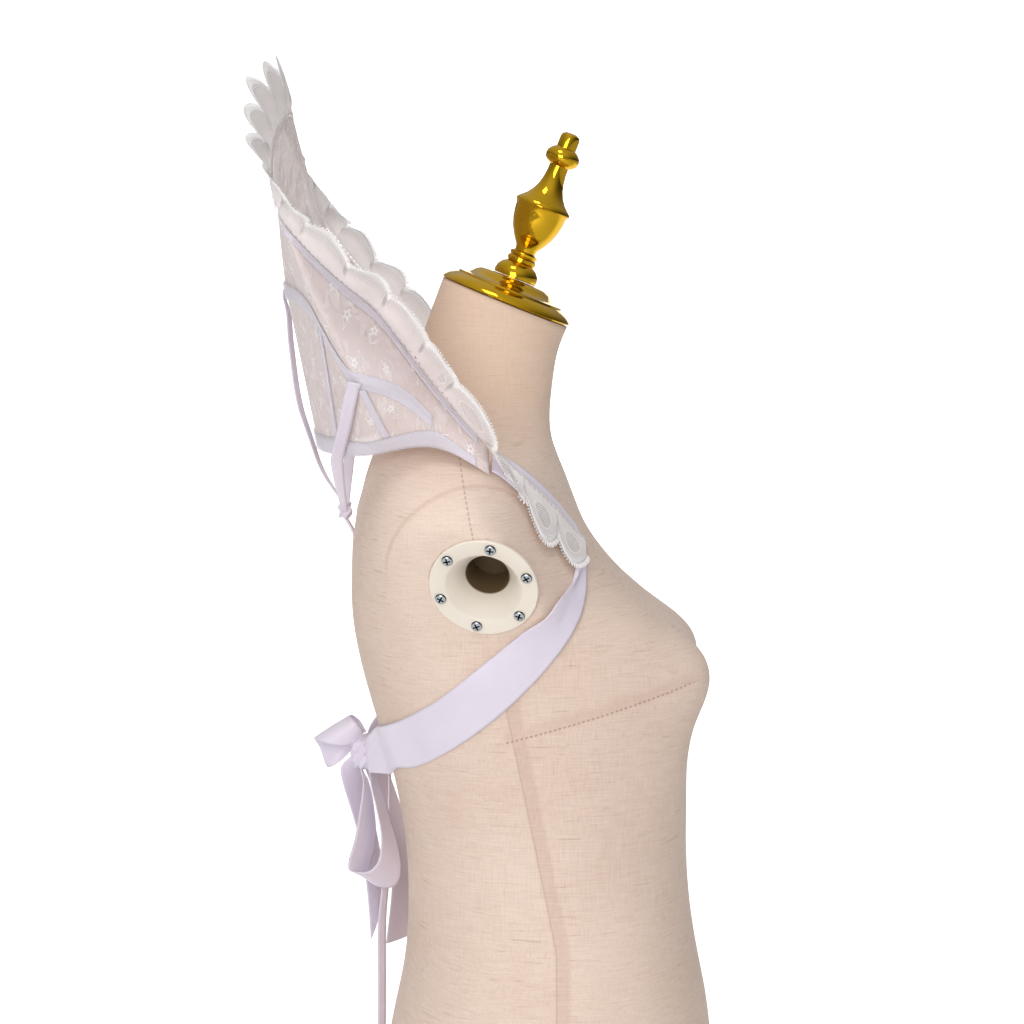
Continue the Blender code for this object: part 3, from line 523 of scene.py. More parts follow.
def sheer_material():
    made, net, shader = material("organza", Roughness=0.75, Sheen_Weight=0.3, Specular_IOR_Level=0.3)
    along, up, _ = net.on_cloth("cloth")
    sprigs, away = flowers(net, along, up, SPRIG_PITCH, PETAL_REACH, 5, 0.6)
    dots, _ = flowers(net, along + 0.31, up + 0.17, DOT_PITCH, DOT_REACH, 1, 0.8)
    curl = net.noise(net.vector(along, up), 62.0, 1, 0.6) - 0.5
    stems = curl.line(0.022) * (1 - away.rising(0.009, 0.012)) * away.rising(0.003, 0.0045)
    leaves = net.noise(net.vector(along * 2.6 + 3.0, up), 52.0, 1, 0.4).rising(0.585, 0.61)
    leaves = leaves * (1 - (along + up * 0.5).in_steps_of(0.0016).line(0.0006, 0.8) * 0.6)
    thread = sprigs.most(stems).most(leaves * 0.6).most(dots * 0.7)
    weave_a, weave_b = along.in_steps_of(WEAVE_PITCH), up.in_steps_of(WEAVE_PITCH)
    weave = weave_a.line(0.0005, 0.9).most(weave_b.line(0.0005, 0.9))
    cloud = net.noise(net.vector(along * 3, up * 9), 14.0, 3)
    patch = net.noise(net.vector(along, up), 34.0, 1).rising(0.5, 0.6)
    # Brownish streaks running up the cloth are painted sheen.
    brown_sheen_streaks = net.noise(net.vector(along * 420, up * 60), 1.0, 2).rising(0.6, 0.7) * patch
    colour = net.mix(cloud, rgb(251, 239, 237), rgb(231, 215, 213))
    colour = net.mix(brown_sheen_streaks * 0.55, colour, rgb(176, 150, 132))
    stitch = 0.72 + (along - up).in_steps_of(STITCH_PITCH).line(STITCH_PITCH / 2, 0.9) * 0.28
    colour = net.mix(thread * stitch, colour, rgb(250, 245, 244))
    net.plug(colour, shader["Base Color"])
    clear = 0.56 + weave * 0.08 + cloud * 0.18 + thread * 0.22 + brown_sheen_streaks * 0.1
    net.plug(clear.least(1.0), shader["Alpha"])
    net.plug(net.bump(thread + cloud * 0.4, 0.5, 0.0006), shader["Normal"])
    return made


organza = sheer_material()
print("organza nodes:", len(organza.node_tree.nodes))

# %% [markdown]
# ## Lace
# The edging is close and nearly solid. It has a row of small holes by its sewn edge, an oval of
# open mesh in each scallop on the chest, fine ribs, and a stitched border. One set of flat
# coordinates runs along the strip, and a second set starts again in each scallop.

# %% Lace
HOLE_PITCH = 5.6 * MM
HOLE = 1.9 * MM
HOLE_ROW = 3.4 * MM
CORD_ROW = 5.6 * MM
MESH_FROM = 400 * MM
MESH_PITCH = 2.4 * MM
MESH_THREAD = 1.1 * MM


def lace_material():
    made, net, shader = material("lace", Roughness=0.8, Sheen_Weight=0.25, Specular_IOR_Level=0.25)
    along, out, _ = net.on_cloth("cloth")
    across, share, _ = net.on_cloth("scallop")
    hole_x, hole_y = along.in_steps_of(HOLE_PITCH), out - HOLE_ROW
    hole_away = (hole_x * hole_x + hole_y * hole_y * 0.6) ** 0.5
    holes = 1 - hole_away.rising(HOLE / 2 - 0.0001, HOLE / 2 + 0.0002)
    dx, dy = across * 3.6, (share - 0.5) * 4.4
    oval = (dx * dx + dy * dy) ** 0.5
    on_chest = abs(along).rising(MESH_FROM, MESH_FROM + 0.002)
    net_x, net_y = (along + out).in_steps_of(MESH_PITCH), (along - out).in_steps_of(MESH_PITCH)
    mesh_hole = (1 - net_x.line(MESH_THREAD)) * (1 - net_y.line(MESH_THREAD))
    mesh_hole = mesh_hole * (1 - oval.rising(0.9, 0.98)) * on_chest
    border = share.rising(0.86, 0.9)
    cord = (oval - 1.05).line(0.13) * on_chest
    cord = cord.most((out - CORD_ROW).line(0.0009)).most((share - 0.84).line(0.025))
    ribs = (across * 40.0).in_steps_of(1.4).line(0.8, 0.9) * share.rising(0.4, 0.7)
    cloud = net.noise(net.vector(along, out), 90.0, 2)
    colour = net.mix(cloud, rgb(254, 247, 245), rgb(246, 236, 234))
    colour = net.mix(border.most(cord) * 0.8, colour, rgb(254, 251, 251))
    net.plug(colour, shader["Base Color"])
    solid = 1 - holes.most(mesh_hole * 0.9)
    net.plug((solid * (0.9 + border * 0.1 + cord * 0.1)).least(1.0), shader["Alpha"])
    net.plug(net.bump(border + cord + ribs * 0.7, 0.6, 0.0008), shader["Normal"])
    return made


lace = lace_material()
print("lace nodes:", len(lace.node_tree.nodes))

# %% [markdown]
# ## The collar's shape
# A tailor drafts a collar as a few measured lines. These are the stations of the CAD part, from the
# centre back to the end of the panel, in millimetres. A place is out, back, up, and the right half
# is mirrored for the left. Smooth curves through the same rows keep the fine cloth on its solid.

# %% The measured rows
COLLAR_STATIONS = (
    # hem out, back, up, hoop out, back, up, top out, back, up
    (0, 182, 621, 0, 205.0, 746, 0, 202.0, 881),
    (22, 180, 620, 34, 204.0, 746, 44, 203.0, 874),
    (42, 175, 619.5, 66, 199.0, 745, 88, 204.0, 864),
    (60, 167, 619.5, 97, 188.0, 742, 130, 203.0, 849),
    (75, 158, 620, 122, 176.0, 733, 166, 200.0, 829),
    (86, 150, 620, 140, 166.0, 718, 189, 195.0, 807),
    (95, 142, 621, 152, 155.0, 700, 191, 186.0, 789),
    (103, 134, 622.5, 159, 143.0, 684, 172, 170.0, 769),
    (111, 125, 625, 158, 130.0, 679, 150, 150.0, 749),
    (118, 113, 628, 152, 115.0, 673.5, 130, 130.0, 731),
    (125, 100, 630.5, 145, 101.0, 664, 117, 110.0, 704),
    (130, 86, 631, 139, 87.0, 650, 113, 90.0, 677),
    (134, 72, 627, 137, 73.0, 639, 116, 73.0, 657),
    (136, 60, 620, 136, 60.5, 629, 121, 60.0, 643),
    (137, 49, 613, 135, 49.5, 621, 122, 49.0, 632),
)
TOP_EDGE_ON_CHEST = (
    # out, back, up
    (118, 36, 622),
    (113, 17, 601),
    (93, -4, 579),
    (66, -26, 548),
)
LACE_REACH = (
    # out, back, up, wave
    (0, 8, 43, 4.0),
    (9, 12, 41, 4.0),
    (16, 18, 35, 5.0),
    (33, 13, 20, 5.0),
    (36, 9, 18, 5.0),
    (38, -6, 14, 5.0),
    (37, -12, 13, 5.0),
    (32, -12, 22, 5.5),
    (33, -9, 20, 5.5),
    (32, -13, 22, 5.0),
    (32, -14, 20, 5.0),
    (34, -15, 15, 5.0),
    (34, -20, 7, 4.0),
    (33, -21, -6, 2.0),
    (18, -14, -20, 1.0),
    (17, -11, -23, 0.6),
    (22, 0, -33, 0.6),
    (29, 2, -32, 0.6),
    (33, 4, -22, 0.6),
)
LACE_NOTCHES = (20, 62, 105, 146, 186, 213, 240, 295, 337, 379, 412, 456, 500, 545, 588)
NOTCH_SHARE = 0.5
PANEL_END = 14.0
HOOP_SHARE = 1 / 3
COLLAR_AXIS_BACK = 60.0
PANEL_SWELL = 4.0
print("rows: collar", len(COLLAR_STATIONS), "and lace", len(LACE_REACH))

# %% Curves through the rows


def along_rows(rows, u):
    """A smooth curve through the rows, at u rows from the first."""
    rows = np.asarray(rows, float)
    last = len(rows) - 1
    i = int(min(max(math.floor(u), 0), last - 1))
    f = u - i
    p0, p1, p2, p3 = rows[max(i - 1, 0)], rows[i], rows[i + 1], rows[min(i + 2, last)]
    bend = (2 * p0 - 5 * p1 + 4 * p2 - p3) * f**2 + (3 * p1 - p0 - 3 * p2 + p3) * f**3
    return 0.5 * (2 * p1 + (p2 - p0) * f + bend)


def both_sides(rows, outward_columns):
    rows = np.asarray(rows, float)
    flipped = rows[:0:-1].copy()
    flipped[:, outward_columns] *= -1
    return np.vstack([flipped, rows])


def smoothstep(low, high, value):
    f = min(max((value - low) / (high - low), 0.0), 1.0)
    return f * f * (3 - 2 * f)


def place(out, back, up):
    return Vector((-out, back, up)) * MM


WHOLE_COLLAR = both_sides(COLLAR_STATIONS, [0, 3, 6])
TOP_ROWS = [row[6:] for row in COLLAR_STATIONS] + list(TOP_EDGE_ON_CHEST)
WHOLE_TOP = both_sides(TOP_ROWS, [0])
WHOLE_REACH = both_sides(LACE_REACH, [0])
COLLAR_MIDDLE = len(COLLAR_STATIONS) - 1
TOP_MIDDLE = len(TOP_ROWS) - 1


def panel_place(u, v):
    """A point of the panel, u stations from the centre back, and v from the hem, 0, to the top, 1."""
    station = along_rows(WHOLE_COLLAR, u + COLLAR_MIDDLE)
    hem, hoop, top = station[:3], station[3:6], station[6:]
    if v <= HOOP_SHARE:
        return place(*(hem + (hoop - hem) * v / HOOP_SHARE))
    f = (v - HOOP_SHARE) / (1 - HOOP_SHARE)
    point = hoop + (top - hoop) * f
    swell = PANEL_SWELL * math.sin(math.pi * f) * min(1.0, np.linalg.norm(top - hoop) / 60)
    outward = np.array((point[0], point[1] - COLLAR_AXIS_BACK, 0.0))
    return place(*(point + outward / np.linalg.norm(outward) * swell))


def panel_normal(u, v):
    u = min(max(u, -PANEL_END + 0.05), PANEL_END - 0.05)
    low, high = max(v - 0.04, 0.0), min(v + 0.04, 1.0)
    across = panel_place(u + 0.05, v) - panel_place(u - 0.05, v)
    return across.cross(panel_place(u, high) - panel_place(u, low)).normalized()


def top_place(u):
    return place(*along_rows(WHOLE_TOP, u + TOP_MIDDLE))


print("collar stations:", len(WHOLE_COLLAR))

# %% [markdown]
# ## Building cloth
# Cloth is equally thick all over, and its pattern follows its threads. So each cloth is a grid of
# points with a Solidify thickness, and carries its own flat coordinates. A cloth simulation would
# fall anew at each run, and not into the folds of the photograph.

# %% Make cloth
CLOTH_THICKNESS = 0.6 * MM


def grid_object(name, rows, maps, finish):
    """Cloth through rows of points. maps gives, by name, the flat coordinates of each point."""
    count, wide = len(rows), len(rows[0])
    faces = []
    for i in range(count - 1):
        for j in range(wide - 1):
            a = i * wide + j
            faces.append((a, a + wide, a + wide + 1, a + 1))
    mesh = plain_mesh(name, [p for row in rows for p in row], faces)
    mesh.shade_smooth()
    for map_name, values in maps.items():
        layer = mesh.uv_layers.new(name=map_name)
        for loop in mesh.loops:
            i, j = divmod(loop.vertex_index, wide)
            layer.data[loop.index].uv = values[i][j]
    made = add(name, mesh)
    mesh.materials.append(finish)
    wall = made.modifiers.new("Thickness", "SOLIDIFY")
    wall.thickness = CLOTH_THICKNESS
    wall.offset = 0.0
    return plain_copy(made)


def plain_copy(made):
    """The object with its modifiers worked into its mesh."""
    graph = bpy.context.evaluated_depsgraph_get()
    mesh = bpy.data.meshes.new_from_object(made.evaluated_get(graph), depsgraph=graph)
    name = made.name
    old = made.data
    bpy.data.objects.remove(made)
    bpy.data.meshes.remove(old)
    mesh.name = name
    return add(name, mesh)


def arc_lengths(points):
    steps = [0.0] + [(b - a).length for a, b in zip(points, points[1:])]
    return np.cumsum(steps)


print("cloth thickness in mm:", CLOTH_THICKNESS / MM)

# %% [markdown]
# ## Panel
# The collar is one fan of organza that bones and bands hold up behind the head. It could be cut
# flat and bent. Lofted from the hem over the hoop to the top edge, it lies where its solid does.
# Its two ends run on a little under the chest ribbons.

# %% Build the panel
PANEL_COLUMNS = 225
PANEL_ROWS = 31
PANEL_RUNS_ON = 6 * MM


def run_on(last, before):
    """The panel's end carried a little further, to where it goes under the chest ribbon."""
    return [p + (p - q).normalized() * PANEL_RUNS_ON for p, q in zip(last, before)]


def build_panel():
    us = np.linspace(-PANEL_END, PANEL_END, PANEL_COLUMNS)
    vs = np.linspace(0, 1, PANEL_ROWS)
    rows = [[panel_place(u, v) for v in vs] for u in us]
    rows = [run_on(rows[0], rows[1])] + rows + [run_on(rows[-1], rows[-2])]
    middle = arc_lengths([row[len(vs) // 2] for row in rows])
    flat = [[(middle[i], h) for h in arc_lengths(row)] for i, row in enumerate(rows)]
    made = grid_object("panel_cloth", rows, {"cloth": flat}, organza)
    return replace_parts(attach(made, "root"), "panel")


panel = build_panel()
print("panel faces:", len(panel.data.polygons))

# %% [markdown]
# ## Lace edging
# A strip of lace with deep scallops is sewn along the top edge. It stands up from the wing and
# folds over onto the chest, lifted clear of the form. Each scallop is a run of columns between two
# notches, longest in its middle, because an outline cut out of a strip would leave no even grid.

# %% Measure the top edge
SCALLOP_STEPS = 14
LACE_COLUMNS = 10
LACE_FOLDS_AT = (9.0, 10.6)
LACE_LIFT = 3.6 * MM
LACE_SEAM = 1.6 * MM
LACE_OVERLAP = 4.5 * MM
CHEST_LACE_HEIGHT = 5.4 * MM
WING_CORNER, CORNER_SPAN = 6.1, 0.5
SCALLOP_ROUNDNESS = 0.62
USUAL_SCALLOP = 40
TABLE_STEPS = 1801

form_points = [v.co.copy() for v in nodes["form_torso"].data.vertices]
form_faces = [tuple(p.vertices) for p in nodes["form_torso"].data.polygons]
form_tree = BVHTree.FromPolygons(form_points, form_faces)


def lift_off(point, gap):
    near, normal, _, _ = form_tree.find_nearest(point)
    height = (point - near).dot(normal)
    return point + normal * (gap - height) if height < gap else point


def station_table():
    """How far along the top edge each station lies, for looking up a station by distance."""
    us = np.linspace(0, TOP_MIDDLE, TABLE_STEPS)
    return us, arc_lengths([top_place(u) for u in us])


TABLE_STATIONS, TABLE_LENGTHS = station_table()
print("half the top edge in mm:", round(TABLE_LENGTHS[-1] / MM, 1))

# %% Build the lace edging


def lace_column(u, f):
    """The lace from its seam to its rim, at station u and at f, from 0 to 1, of its scallop."""
    base = top_place(u)
    reach = along_rows(WHOLE_REACH, u + TOP_MIDDLE)
    over = place(*reach[:3])
    travel = top_place(u + 0.1) - top_place(u - 0.1)
    outward = travel.cross(over).normalized()
    folded = smoothstep(*LACE_FOLDS_AT, u)
    edge_u = min(u, PANEL_END)
    rise = (panel_place(edge_u, 1.0) - panel_place(edge_u, 0.96)).normalized()
    corner = math.exp(-(((u - WING_CORNER) / CORNER_SPAN) ** 2))
    base = base + rise * (LACE_SEAM * (1 + corner) - LACE_OVERLAP * folded)
    base = base + panel_normal(edge_u, 1.0) * LACE_LIFT * folded
    bulge = math.sin(math.pi * f) ** SCALLOP_ROUNDNESS
    length = NOTCH_SHARE + (1 - NOTCH_SHARE) * bulge
    points = []
    for v in np.linspace(0, 1, LACE_COLUMNS):
        wave = (math.sin(math.pi * f) - 0.5) * v + 0.16 * math.sin(2.2 * math.pi * v) * (1 - folded)
        point = base + over * length * v + outward * reach[3] * MM * wave
        if u > LACE_FOLDS_AT[0]:
            point = lift_off(point, CHEST_LACE_HEIGHT)
        points.append(point)
    return points


def build_lace():
    notches = [-LACE_NOTCHES[0]] + list(LACE_NOTCHES)
    rows, flat, scallop = [], [], []
    for first, last in zip(notches, notches[1:]):
        for i in range(SCALLOP_STEPS + 1):
            f = i / SCALLOP_STEPS
            distance = (first + (last - first) * f) * MM
            if distance < 0 or (i == SCALLOP_STEPS and last != notches[-1]):
                continue
            u = float(np.interp(distance, TABLE_LENGTHS, TABLE_STATIONS))
            column = lace_column(min(u, TOP_MIDDLE - 0.001), f)
            rows.append(column)
            flat.append([(distance, d) for d in arc_lengths(column)])
            width = (last - first) / USUAL_SCALLOP
            scallop.append([((f - 0.5) * width, v) for v in np.linspace(0, 1, LACE_COLUMNS)])
    left = [[Vector((-p.x, p.y, p.z)) for p in row] for row in rows[:0:-1]]
    flat_left = [[(-a, b) for a, b in row] for row in flat[:0:-1]]
    scallop_left = [[(-a, b) for a, b in row] for row in scallop[:0:-1]]
    maps = {"cloth": flat_left + flat, "scallop": scallop_left + scallop}
    whole = left + rows
    made = grid_object("lace_cloth", whole, maps, lace)
    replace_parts(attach(made, "root"), "lace_edging")
    return made, [row[-1] for row in whole], [row[-1] - row[-2] for row in whole]


lace_piece, lace_rim, lace_outward = build_lace()
print("lace faces:", len(lace_piece.data.polygons))

# %% [markdown]
# ## Smoothing the CAD pieces
# The ribbons and the form are smooth, and their CAD pieces have facets. Shapes built anew would
# have to be fitted again, so the facets are joined and rounded by a Subdivision modifier, with the
# sharp edges kept. The knots are swollen and pressed into slanting folds, as tied ribbon is, and
# the bust is rounded at its foremost points.

# %% Join, soften and round
WELD = 0.02 * MM
FLAT_WITHIN, SQUARE_WITHIN = math.radians(35), math.radians(70)
SHARP = math.radians(38)
SHOWN_SHARP = math.radians(50)
BUST_FRONT = -78 * MM
BUST_TIP = -125 * MM
BUST_UP = 452 * MM
BUST_HALF_HEIGHT = 58 * MM
BUST_PUSH = 7.5 * MM
SOFTENING_ROUNDS = 3
KNOT_SWELL = {"bow_knot": 3.4 * MM, "tie_knot": 1.0 * MM}
FOLD_PITCH = 6.0 * MM
FOLD_DEPTH = 0.9 * MM


def joined_mesh(node):
    """The CAD node's mesh, welded, and its triangles joined back into four-sided faces."""
    bm = bmesh.new()
    bm.from_mesh(nodes[node].data)
    bmesh.ops.remove_doubles(bm, verts=bm.verts[:], dist=WELD)
    bmesh.ops.join_triangles(
        bm,
        faces=bm.faces[:],
        angle_face_threshold=FLAT_WITHIN,
        angle_shape_threshold=SQUARE_WITHIN,
    )
    return bm


def soften_bust(bm):
    """Rounds off the form's foremost points, and brings them forward by what the rounding took."""
    in_front = [v for v in bm.verts if v.co.y < BUST_FRONT]
    chosen = [v for v in in_front if abs(v.co.z - BUST_UP) < BUST_HALF_HEIGHT]
    for _ in range(SOFTENING_ROUNDS):
        bmesh.ops.smooth_vert(
            bm, verts=chosen, factor=0.5, use_axis_x=True, use_axis_y=True, use_axis_z=True
        )
    for vert in chosen:
        share = 1 - ((vert.co.z - BUST_UP) / BUST_HALF_HEIGHT) ** 2
        vert.co.y -= BUST_PUSH * max(share, 0.0) * smoothstep(-BUST_FRONT, -BUST_TIP, -vert.co.y)


def rounded(node, finish, levels, swell=0.0, prepare=None):
    """The CAD node rounded, after being swollen or prepared in its own way."""
    bm = joined_mesh(node)
    if prepare:
        prepare(bm)
    bm.normal_update()
    for vert in bm.verts:
        vert.co += vert.normal * swell
    crease = bm.edges.layers.float.new("crease_edge")
    for edge in bm.edges:
        if len(edge.link_faces) == 2 and edge.calc_face_angle(0.0) > SHARP:
            edge[crease] = 1.0
    mesh = bpy.data.meshes.new(node + "_look")
    bm.to_mesh(mesh)
    bm.free()
    mesh.shade_smooth()
    mesh.materials.clear()
    mesh.materials.append(finish)
    made = add(mesh.name, mesh)
    rounding = made.modifiers.new("Rounding", "SUBSURF")
    rounding.levels = rounding.render_levels = levels
    made = plain_copy(made)
    made.data.set_sharp_from_angle(angle=SHOWN_SHARP)
    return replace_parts(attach(made, "root"), node)


def fold_over(made):
    """Presses slanting folds into a knot."""
    verts = made.data.vertices
    for vert, normal in zip(verts, [vert.normal.copy() for vert in verts]):
        turn = (vert.co.y + 0.7 * vert.co.z + 0.3 * vert.co.x) * 2 * math.pi / FOLD_PITCH
        vert.co += normal * math.sin(turn) * FOLD_DEPTH


print("folds in mm:", FOLD_PITCH / MM)

# %% The smoothed pieces
SATIN_NODES = [
    "chest_ribbon_right", "chest_ribbon_left", "strap_right", "strap_left",
    "tie_right", "tie_left", "tie_centre", "tie_tail_right", "tie_tail_left", "tie_knot",
    "bow_knot", "bow_loop_raised", "bow_loop_hanging", "bow_tail_near", "bow_tail_far",
]
BAND_NODES = [
    "top_band", "hoop_band", "hem_band",
    "bone_right_1", "bone_right_2", "bone_left_1", "bone_left_2",
]
satin_pieces = {
    node: rounded(node, satin, 3 if node in KNOT_SWELL else 2, KNOT_SWELL.get(node, 0.0))
    for node in SATIN_NODES
}
band_pieces = {node: rounded(node, sheer_satin, 2) for node in BAND_NODES}
for node in KNOT_SWELL:
    fold_over(satin_pieces[node])
form_piece = rounded("form_torso", linen, 2, prepare=soften_bust)
print("smoothed pieces:", len(satin_pieces) + len(band_pieces) + 1)

# %% [markdown]
# ## Turned pieces
# Rounding the polished cap's facets would blur its crisp steps. So the cap, the finial and the
# socket plates are turned again from the profiles in the CAD part, with many more steps.

# %% Profiles and turned shells
TURN_STEPS = 96
ON_AXIS = 0.2 * MM
SEAM_WELD = 0.05 * MM
TURNED_SHARP = math.radians(40)


def profile_of(node, centre, axis):
    """The turned profile of a CAD node, as points of radius and height and their neighbours."""
    bm = joined_mesh(node)
    axis = axis.normalized()
    rings = {}
    for edge in bm.edges:
        ends = []
        for vert in edge.verts:
            away = vert.co - centre
            height = away.dot(axis)
            ends.append((round((away - axis * height).length, 5), round(height, 5)))
        if ends[0] != ends[1]:
            rings.setdefault(ends[0], set()).add(ends[1])
            rings.setdefault(ends[1], set()).add(ends[0])
    bm.free()
    return rings


def ordered(rings):
    """The profile's points in order, from its lowest end, and closed onto the axis at both ends."""
    here = min((p for p in rings if len(rings[p]) == 1), key=lambda p: p[1])
    path = [(0.0, here[1]), here] if here[0] > ON_AXIS else [here]
    while True:
        onward = [p for p in rings[here] if p not in path]
        if not onward:
            break
        here = min(onward, key=lambda p: math.dist(p, here))
        path.append(here)
    return path + [(0.0, here[1])] if here[0] > ON_AXIS else path


def turned_mesh(name, path, centre, axis):
    """A closed shell from a profile of radius and height, turned about the axis."""
    axis = axis.normalized()
    first = axis.orthogonal().normalized()
    second = axis.cross(first)
    points, faces = [], []
    for k in range(TURN_STEPS):
        turn = 2 * math.pi * k / TURN_STEPS
        way = first * math.cos(turn) + second * math.sin(turn)
        points += [centre + way * radius + axis * height for radius, height in path]
    n = len(path)
    for k in range(TURN_STEPS):
        a, b = k * n, (k + 1) % TURN_STEPS * n
        faces += [(a + i, b + i, b + i + 1, a + i + 1) for i in range(n - 1)]
    mesh = plain_mesh(name, points, faces)
    bm = bmesh.new()
    bm.from_mesh(mesh)
    bmesh.ops.remove_doubles(bm, verts=bm.verts[:], dist=SEAM_WELD)
    bmesh.ops.recalc_face_normals(bm, faces=bm.faces[:])
    bm.to_mesh(mesh)
    bm.free()
    mesh.shade_smooth()
    mesh.set_sharp_from_angle(angle=TURNED_SHARP)
    return mesh


def turned_again(node, centre, axis, finish):
    path = ordered(profile_of(node, centre, axis))
    mesh = turned_mesh(node + "_look", path, centre, axis)
    mesh.materials.append(finish)
    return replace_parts(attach(add(node + "_look", mesh), "root"), node)


print("turned in steps:", TURN_STEPS)

# %% Turn cap, finial and plates
CAP_CENTRE = Vector((0.0, 0.0318, 0.7372))
CAP_LEAN = math.radians(21.8)
CAP_AXIS = Vector((0, -math.sin(CAP_LEAN), math.cos(CAP_LEAN)))
gold_nodes = ("neck_cap", "finial")
turned_pieces = [turned_again(node, CAP_CENTRE, CAP_AXIS, gold) for node in gold_nodes]
plate_axes = {}
for word, side in (("right", -1), ("left", 1)):
    centre = Vector((side * PLATE_CENTRE.x, PLATE_CENTRE.y, PLATE_CENTRE.z))
    plate_axes[word] = Vector((side * PLATE_AXIS.x, PLATE_AXIS.y, PLATE_AXIS.z))
    plate = turned_again(f"socket_plate_{word}", centre, plate_axes[word], socket_plate)
    turned_pieces.append(plate)
print("turned pieces:", len(turned_pieces))

# %% [markdown]
# ## Scattering copies
# The screws and the lace's loops of thread are the same small shape many times over. A Geometry
# Nodes tree puts a copy on each point, turned by two vectors that the point carries, so that a
# shape is modelled once, at a size of one.

# %% The scatter tree
SCATTER_INPUTS = {"Points": "Geometry", "Piece": "Object", "Size": "Float", "Finish": "Material"}


def set_input(modifier, tree, label, value):
    """Sets a Geometry Nodes input by its socket's identifier."""
    socket = next(i for i in tree.interface.items_tree if i.name == label and i.in_out == "INPUT")
    modifier[socket.identifier] = value


def scatter_tree():
    """Puts a copy of an object on every point, turned as the point's attribute says."""
    tree = bpy.data.node_groups.new("scatter", "GeometryNodeTree")
    for label, kind in SCATTER_INPUTS.items():
        tree.interface.new_socket(label, in_out="INPUT", socket_type="NodeSocket" + kind)
    tree.interface.new_socket("Result", in_out="OUTPUT", socket_type="NodeSocketGeometry")
    net = Net(tree)
    start, end = tree.nodes.new("NodeGroupInput"), tree.nodes.new("NodeGroupOutput")
    points, piece, size, finish = (Term(net, out) for out in start.outputs[:4])
    shape = net.node("GeometryNodeObjectInfo", {"Object": piece}, out="Geometry")
    out_way, rim_way = (
        net.node("GeometryNodeInputNamedAttribute", {"Name": name}, data_type="FLOAT_VECTOR")
        for name in ("out_way", "rim_way")
    )
    stand = net.node("FunctionNodeAlignRotationToVector", {"Vector": out_way}, axis="Z")
    turn = net.node(
        "FunctionNodeAlignRotationToVector",
        {"Rotation": stand, "Vector": rim_way},
        axis="X",
        pivot_axis="Z",
    )
    inputs = {"Points": points, "Instance": shape, "Rotation": turn, "Scale": size}
    copies = net.node("GeometryNodeInstanceOnPoints", inputs)
    real = net.node("GeometryNodeRealizeInstances", {"Geometry": copies})
    done = net.node("GeometryNodeSetMaterial", {"Geometry": real, "Material": finish})
    net.plug(done, end.inputs["Result"])
    return tree


def scattered(name, places, piece, size, finish):
    """One mesh of copies of a piece. A place is a point and the ways of the copy's X and Z."""
    mesh = plain_mesh(name, [point for point, _, _ in places], [])
    for attribute, index in (("rim_way", 1), ("out_way", 2)):
        layer = mesh.attributes.new(attribute, "FLOAT_VECTOR", "POINT")
        layer.data.foreach_set("vector", [c for row in places for c in row[index]])
    made = add(name, mesh)
    modifier = made.modifiers.new("Scatter", "NODES")
    modifier.node_group = SCATTER
    for label, value in (("Piece", piece), ("Size", size), ("Finish", finish)):
        set_input(modifier, SCATTER, label, value)
    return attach(plain_copy(made), "root")


SCATTER = scatter_tree()
print("scatter tree nodes:", len(SCATTER.nodes))

# %% [markdown]
# ## Screws
# A screw head is a low dome with a cross cut into it. A bump in the shader would stay flat in the
# slanting light. So the dome is turned, and a cross-shaped block is taken away from it with a
# Boolean, which leaves a real hollow.

# %% Build the screws
HEAD_PROFILE = ((0, -0.04), (1, -0.04), (1, 0.12), (0.93, 0.27), (0.78, 0.37), (0.5, 0.42), (0, 0.43))
HEAD_RADIUS = 4.2 * MM
CROSS_ARM = 0.66
CROSS_HALF = 0.15
CROSS_FLOOR = 0.16
HEAD_SHARP = math.radians(35)
SCREW_NUMBERS = range(1, 7)
TURN_BETWEEN_SCREWS = 0.7


def cross_block():
    """The block that cuts the cross, for a head of radius 1."""
    a, h = CROSS_ARM, CROSS_HALF
    quarter = [(a, -h), (a, h), (h, h)]
    outline = []
    for k in range(4):
        c, d = ((1, 0), (0, 1), (-1, 0), (0, -1))[k]
        outline += [(x * c - y * d, x * d + y * c) for x, y in quarter]
    n = len(outline)
    points = [(x, y, z) for z in (CROSS_FLOOR, 1.0) for x, y in outline]
    sides = [(i, (i + 1) % n, n + (i + 1) % n, n + i) for i in range(n)]
    caps = [tuple(range(n))[::-1], tuple(range(n, 2 * n))]
    return add("cross", plain_mesh("cross", points, caps + sides))


def screw_head():
    made = add("screw_head", turned_mesh("screw_head", HEAD_PROFILE, Vector(), Vector((0, 0, 1))))
    cross = cross_block()
    cut = made.modifiers.new("Cross", "BOOLEAN")
    cut.operation = "DIFFERENCE"
    cut.solver = "EXACT"
    cut.object = cross
    made = plain_copy(made)
    bpy.data.objects.remove(cross)
    return made


def screw_places(word, axis):
    """Where each head sits, turned a little differently from the next."""
    places = []
    for k in SCREW_NUMBERS:
        low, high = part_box(f"screw_{word}_{k}")
        middle = (low + high) / 2
        foot = min((v.co - middle).dot(axis) for v in nodes[f"screw_{word}_{k}"].data.vertices)
        turn = Matrix.Rotation(TURN_BETWEEN_SCREWS * k, 3, axis)
        across = turn @ axis.orthogonal().normalized()
        places.append((middle + axis * foot, across, axis))
    return places


def build_screws():
    head = screw_head()
    found = []
    for word, axis in plate_axes.items():
        made = scattered(f"screws_{word}", screw_places(word, axis), head, HEAD_RADIUS, steel)
        made.data.set_sharp_from_angle(angle=HEAD_SHARP)
        found.append(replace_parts(made, *(f"screw_{word}_{k}" for k in SCREW_NUMBERS)))
    bpy.data.objects.remove(head)
    return found


screws = build_screws()
print("screws: faces", [len(made.data.polygons) for made in screws])

# %% [markdown]
# ## Picots
# Small loops of thread stand close together all along the scalloped edge. Painted on, they would
# lose their outline, and modelled one by one they would take days. So one loop is bent from a
# curve, and copied onto evenly spaced points of the rim.

